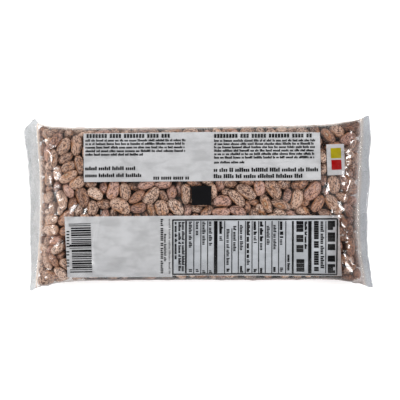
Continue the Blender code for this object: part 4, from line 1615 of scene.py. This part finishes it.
black.quad([(172.4, 219.3), (337.4, 218.1), (338.1, 219.6), (172.4, 220.8)])
black.quad([(172.6, 273.7), (255.0, 273.0), (255.0, 274.5), (172.6, 275.2)])
black.quad([(255.0, 273.0), (337.0, 274.0), (337.0, 275.5), (255.0, 274.5)])
black.quad([(172.1, 219.6), (173.5, 219.6), (173.6, 275.0), (172.2, 275.0)])
black.quad([(336.8, 219.0), (338.2, 219.4), (337.4, 275.2), (336.0, 275.0)])
rule(185.2, 1.7)
for x in (193.5, 200.5, 207.3):
    rule(x, 0.9)
rule(214.0, 3.6)
rule(224.3, 0.9)
rule(231.5, 0.9, 228.4)
for x in (238.0, 245.0, 251.7, 258.3, 265.0, 271.6, 278.3, 285.4):
    rule(x, 0.9)
rule(292.0, 1.9)
rule(308.2, 3.5)
rule(325.5, 0.9)
# entries: where the column stands, how wide, from and to, and how dense
for x, wide, y0, y1, pitch, fill in (
    (176.0, 2.2, 222.0, 260.0, 1.35, 0.66),
    (179.7, 2.2, 222.0, 273.0, 1.35, 0.62),
    (183.2, 2.2, 222.0, 272.0, 1.35, 0.60),
    (190.4, 2.7, 221.6, 250.0, 1.6, 0.50),
    (190.4, 2.7, 269.2, 273.0, 1.6, 0.50),
    (197.4, 2.7, 221.6, 236.0, 1.6, 0.50),
    (197.4, 2.7, 269.2, 273.0, 1.6, 0.50),
    (203.9, 2.7, 221.6, 244.6, 1.6, 0.48),
    (203.9, 2.7, 270.4, 273.0, 1.6, 0.50),
    (210.6, 2.7, 221.6, 246.5, 1.6, 0.48),
    (210.6, 2.7, 270.4, 273.0, 1.6, 0.50),
    (221.1, 2.9, 221.4, 235.0, 1.8, 0.74),
    (221.1, 2.7, 236.4, 240.6, 1.6, 0.45),
    (228.0, 2.5, 229.0, 266.0, 1.45, 0.48),
    (228.0, 2.5, 268.6, 273.0, 1.7, 0.70),
    (234.8, 2.5, 226.0, 251.0, 1.55, 0.50),
    (241.5, 2.5, 225.0, 251.0, 1.55, 0.50),
    (241.5, 2.5, 266.0, 273.0, 1.7, 0.70),
    (248.3, 2.7, 221.4, 258.0, 1.75, 0.74),
    (248.3, 2.5, 259.4, 265.0, 1.5, 0.45),
    (248.3, 2.7, 268.6, 272.8, 1.7, 0.72),
    (255.2, 2.7, 221.4, 235.0, 1.75, 0.74),
    (255.2, 2.5, 236.4, 243.6, 1.5, 0.45),
    (255.2, 2.7, 269.0, 272.8, 1.7, 0.72),
    (261.6, 2.7, 221.4, 241.6, 1.75, 0.74),
    (261.6, 2.5, 243.0, 251.0, 1.5, 0.45),
    (261.6, 2.7, 268.0, 272.8, 1.7, 0.72),
    (268.2, 2.5, 226.0, 245.0, 1.5, 0.45),
    (274.9, 2.5, 225.0, 251.5, 1.5, 0.48),
    (274.9, 2.7, 267.0, 272.2, 1.7, 0.72),
    (281.6, 2.7, 221.4, 238.0, 1.75, 0.74),
    (281.6, 2.5, 239.4, 246.4, 1.5, 0.45),
    (281.6, 2.5, 267.6, 272.2, 1.5, 0.50),
    (288.8, 2.2, 254.6, 271.4, 1.5, 0.66),
    (299.9, 6.4, 221.0, 253.2, 3.7, 0.80),
    (300.4, 7.4, 259.2, 272.3, 4.3, 0.80),
    (305.9, 1.9, 221.4, 249.0, 1.3, 0.70),
    (316.4, 4.1, 221.0, 249.0, 2.3, 0.78),
    (316.4, 4.1, 251.4, 271.6, 2.3, 0.74),
    (322.4, 3.1, 221.4, 268.0, 1.8, 0.55),
    (331.5, 6.8, 220.8, 252.2, 3.1, 0.84),
    (331.5, 6.8, 255.6, 272.6, 3.1, 0.84),
):
    tall = 0.6 if pitch > 2.2 else 0.0
    fill -= 0.09 if pitch > 2.2 else 0.0
    marks(black, y0, y1 + pitch * 0.3, x, wide + 0.6, pitch, fill + 0.24, down=True, even=tall)
black.piece()


def label_piece():
    """A plain field of colour on the face below, its edges a little way up both long sides."""
    rows = np.nonzero((FILM_X - SHIFT[0] > -77.5) & (FILM_X - SHIFT[0] < 102.5))[0]
    x = FILM_X[rows] - SHIFT[0]
    # how many of the film's points the field goes up each side
    near = 6.8 + 3.2 * np.exp(-(((x + 61) / 13) ** 2)) + 3.4 * np.exp(-(((x - 47) / 24) ** 2))
    near = near + 0.5 * np.sin(x / 3.1) + 0.4 * np.sin(x / 7.3 + 1)
    far = 2.6 + 4.2 * np.exp(-(((x + 4) / 17) ** 2)) + 2.6 * np.exp(-(((x - 72) / 22) ** 2))
    far = far + 0.5 * np.sin(x / 4.3 + 2)
    up, down = np.linspace(1, 0, 7)[:-1], np.linspace(0, 1, 6)[1:]
    cols = np.concatenate(
        [
            ABOVE - near[:, None] * up,
            np.repeat(np.arange(ABOVE, ROUND + 1)[None, :], len(rows), 0),
            ROUND + far[:, None] * down,
        ],
        1,
    )
    whole = np.floor(cols).astype(int)
    part = (cols - whole)[..., None]
    sheet = FILM - 0.16 * grid_normals(FILM)
    row = rows[:, None]
    grid = sheet[row, whole % ROUND] * (1 - part) + sheet[row, (whole + 1) % ROUND] * part
    wide = cols.shape[1]
    faces = grid_faces(len(rows), wide, False)
    i, j = np.divmod(faces[:, 0], wide)
    line = (i < 2) | (i >= len(rows) - 3) | (j < 1) | (j >= wide - 2)
    for name, chosen, colour in (
        ("label_field", ~line, (0.23, 0.072, 0.047, 1)),
        ("label_line", line, (0.060, 0.020, 0.016, 1)),
    ):
        patch = faces[chosen]
        used, back = np.unique(patch, return_inverse=True)
        me = make_mesh(name, grid.reshape(-1, 3)[used], back.ravel(), [4] * len(patch))
        give_map(me, grid_map(i[chosen], j[chosen], len(rows), wide))
        add_piece(name, me, [ink_material(name, colour, 1.0)])


label_piece()

# ---------------------------------------------------------------------------
# Stage: pale floor, soft light
# ---------------------------------------------------------------------------
floor_mesh = make_mesh(
    "floor",
    np.array([(x, y, 0.0) for y in (-4000.0, 4000.0) for x in (-4000.0, 4000.0)]),
    [0, 1, 3, 2],
    [4],
)
floor = bpy.data.objects.new("floor", floor_mesh)
n = Nodes("floor")
shader = n.add(
    "ShaderNodeBsdfPrincipled",
    {
        "Base Color": (0.92, 0.92, 0.92, 1),
        "Roughness": 0.9,
        "Specular IOR Level": 0.0,
        "Emission Color": (1, 1, 1, 1),
        "Emission Strength": 0.30,
    },
)
n.give(n.out.inputs["Surface"], shader)
floor_mesh.materials.append(n.material)
bpy.context.scene.collection.objects.link(floor)

world = bpy.data.worlds.new("world")
bpy.context.scene.world = world
world.use_nodes = True
w = world.node_tree
place = w.nodes.new("ShaderNodeTexCoord")
split = w.nodes.new("ShaderNodeSeparateXYZ")
height = w.nodes.new("ShaderNodeMapRange")
height.interpolation_type = "SMOOTHSTEP"
height.inputs["From Min"].default_value = 0.30
height.inputs["From Max"].default_value = 0.80
height.inputs["To Min"].default_value = 1.38
height.inputs["To Max"].default_value = 0.03
w.links.new(place.outputs["Generated"], split.inputs[0])
w.links.new(split.outputs[2], height.inputs["Value"])
# a little brighter at the left than at the right
sideways = w.nodes.new("ShaderNodeMapRange")
sideways.interpolation_type = "SMOOTHSTEP"
sideways.inputs["From Min"].default_value = -0.7
sideways.inputs["From Max"].default_value = 0.7
sideways.inputs["To Min"].default_value = 1.05
sideways.inputs["To Max"].default_value = 0.66
w.links.new(split.outputs[0], sideways.inputs["Value"])
strength = w.nodes.new("ShaderNodeMath")
strength.operation = "MULTIPLY"
w.links.new(height.outputs[0], strength.inputs[0])
w.links.new(sideways.outputs[0], strength.inputs[1])
w.links.new(strength.outputs[0], w.nodes["Background"].inputs["Strength"])
w.nodes["Background"].inputs["Color"].default_value = (0.97, 0.98, 1.0, 1)


def soft_light(name, place, size, power):
    data = bpy.data.lights.new(name, "AREA")
    data.shape = "RECTANGLE"
    data.size, data.size_y = size
    data.energy = power
    ob = bpy.data.objects.new(name, data)
    ob.location = place
    aim = Vector((0, 0, 0.01)) - Vector(place)
    ob.rotation_euler = aim.to_track_quat("-Z", "Y").to_euler()
    bpy.context.scene.collection.objects.link(ob)
    return ob


for name, (place, size, power) in LIGHTS.items():
    soft_light(name, place, size, power)

bpy.context.scene.view_settings.view_transform = "Standard"
bpy.context.scene.view_settings.look = "None"
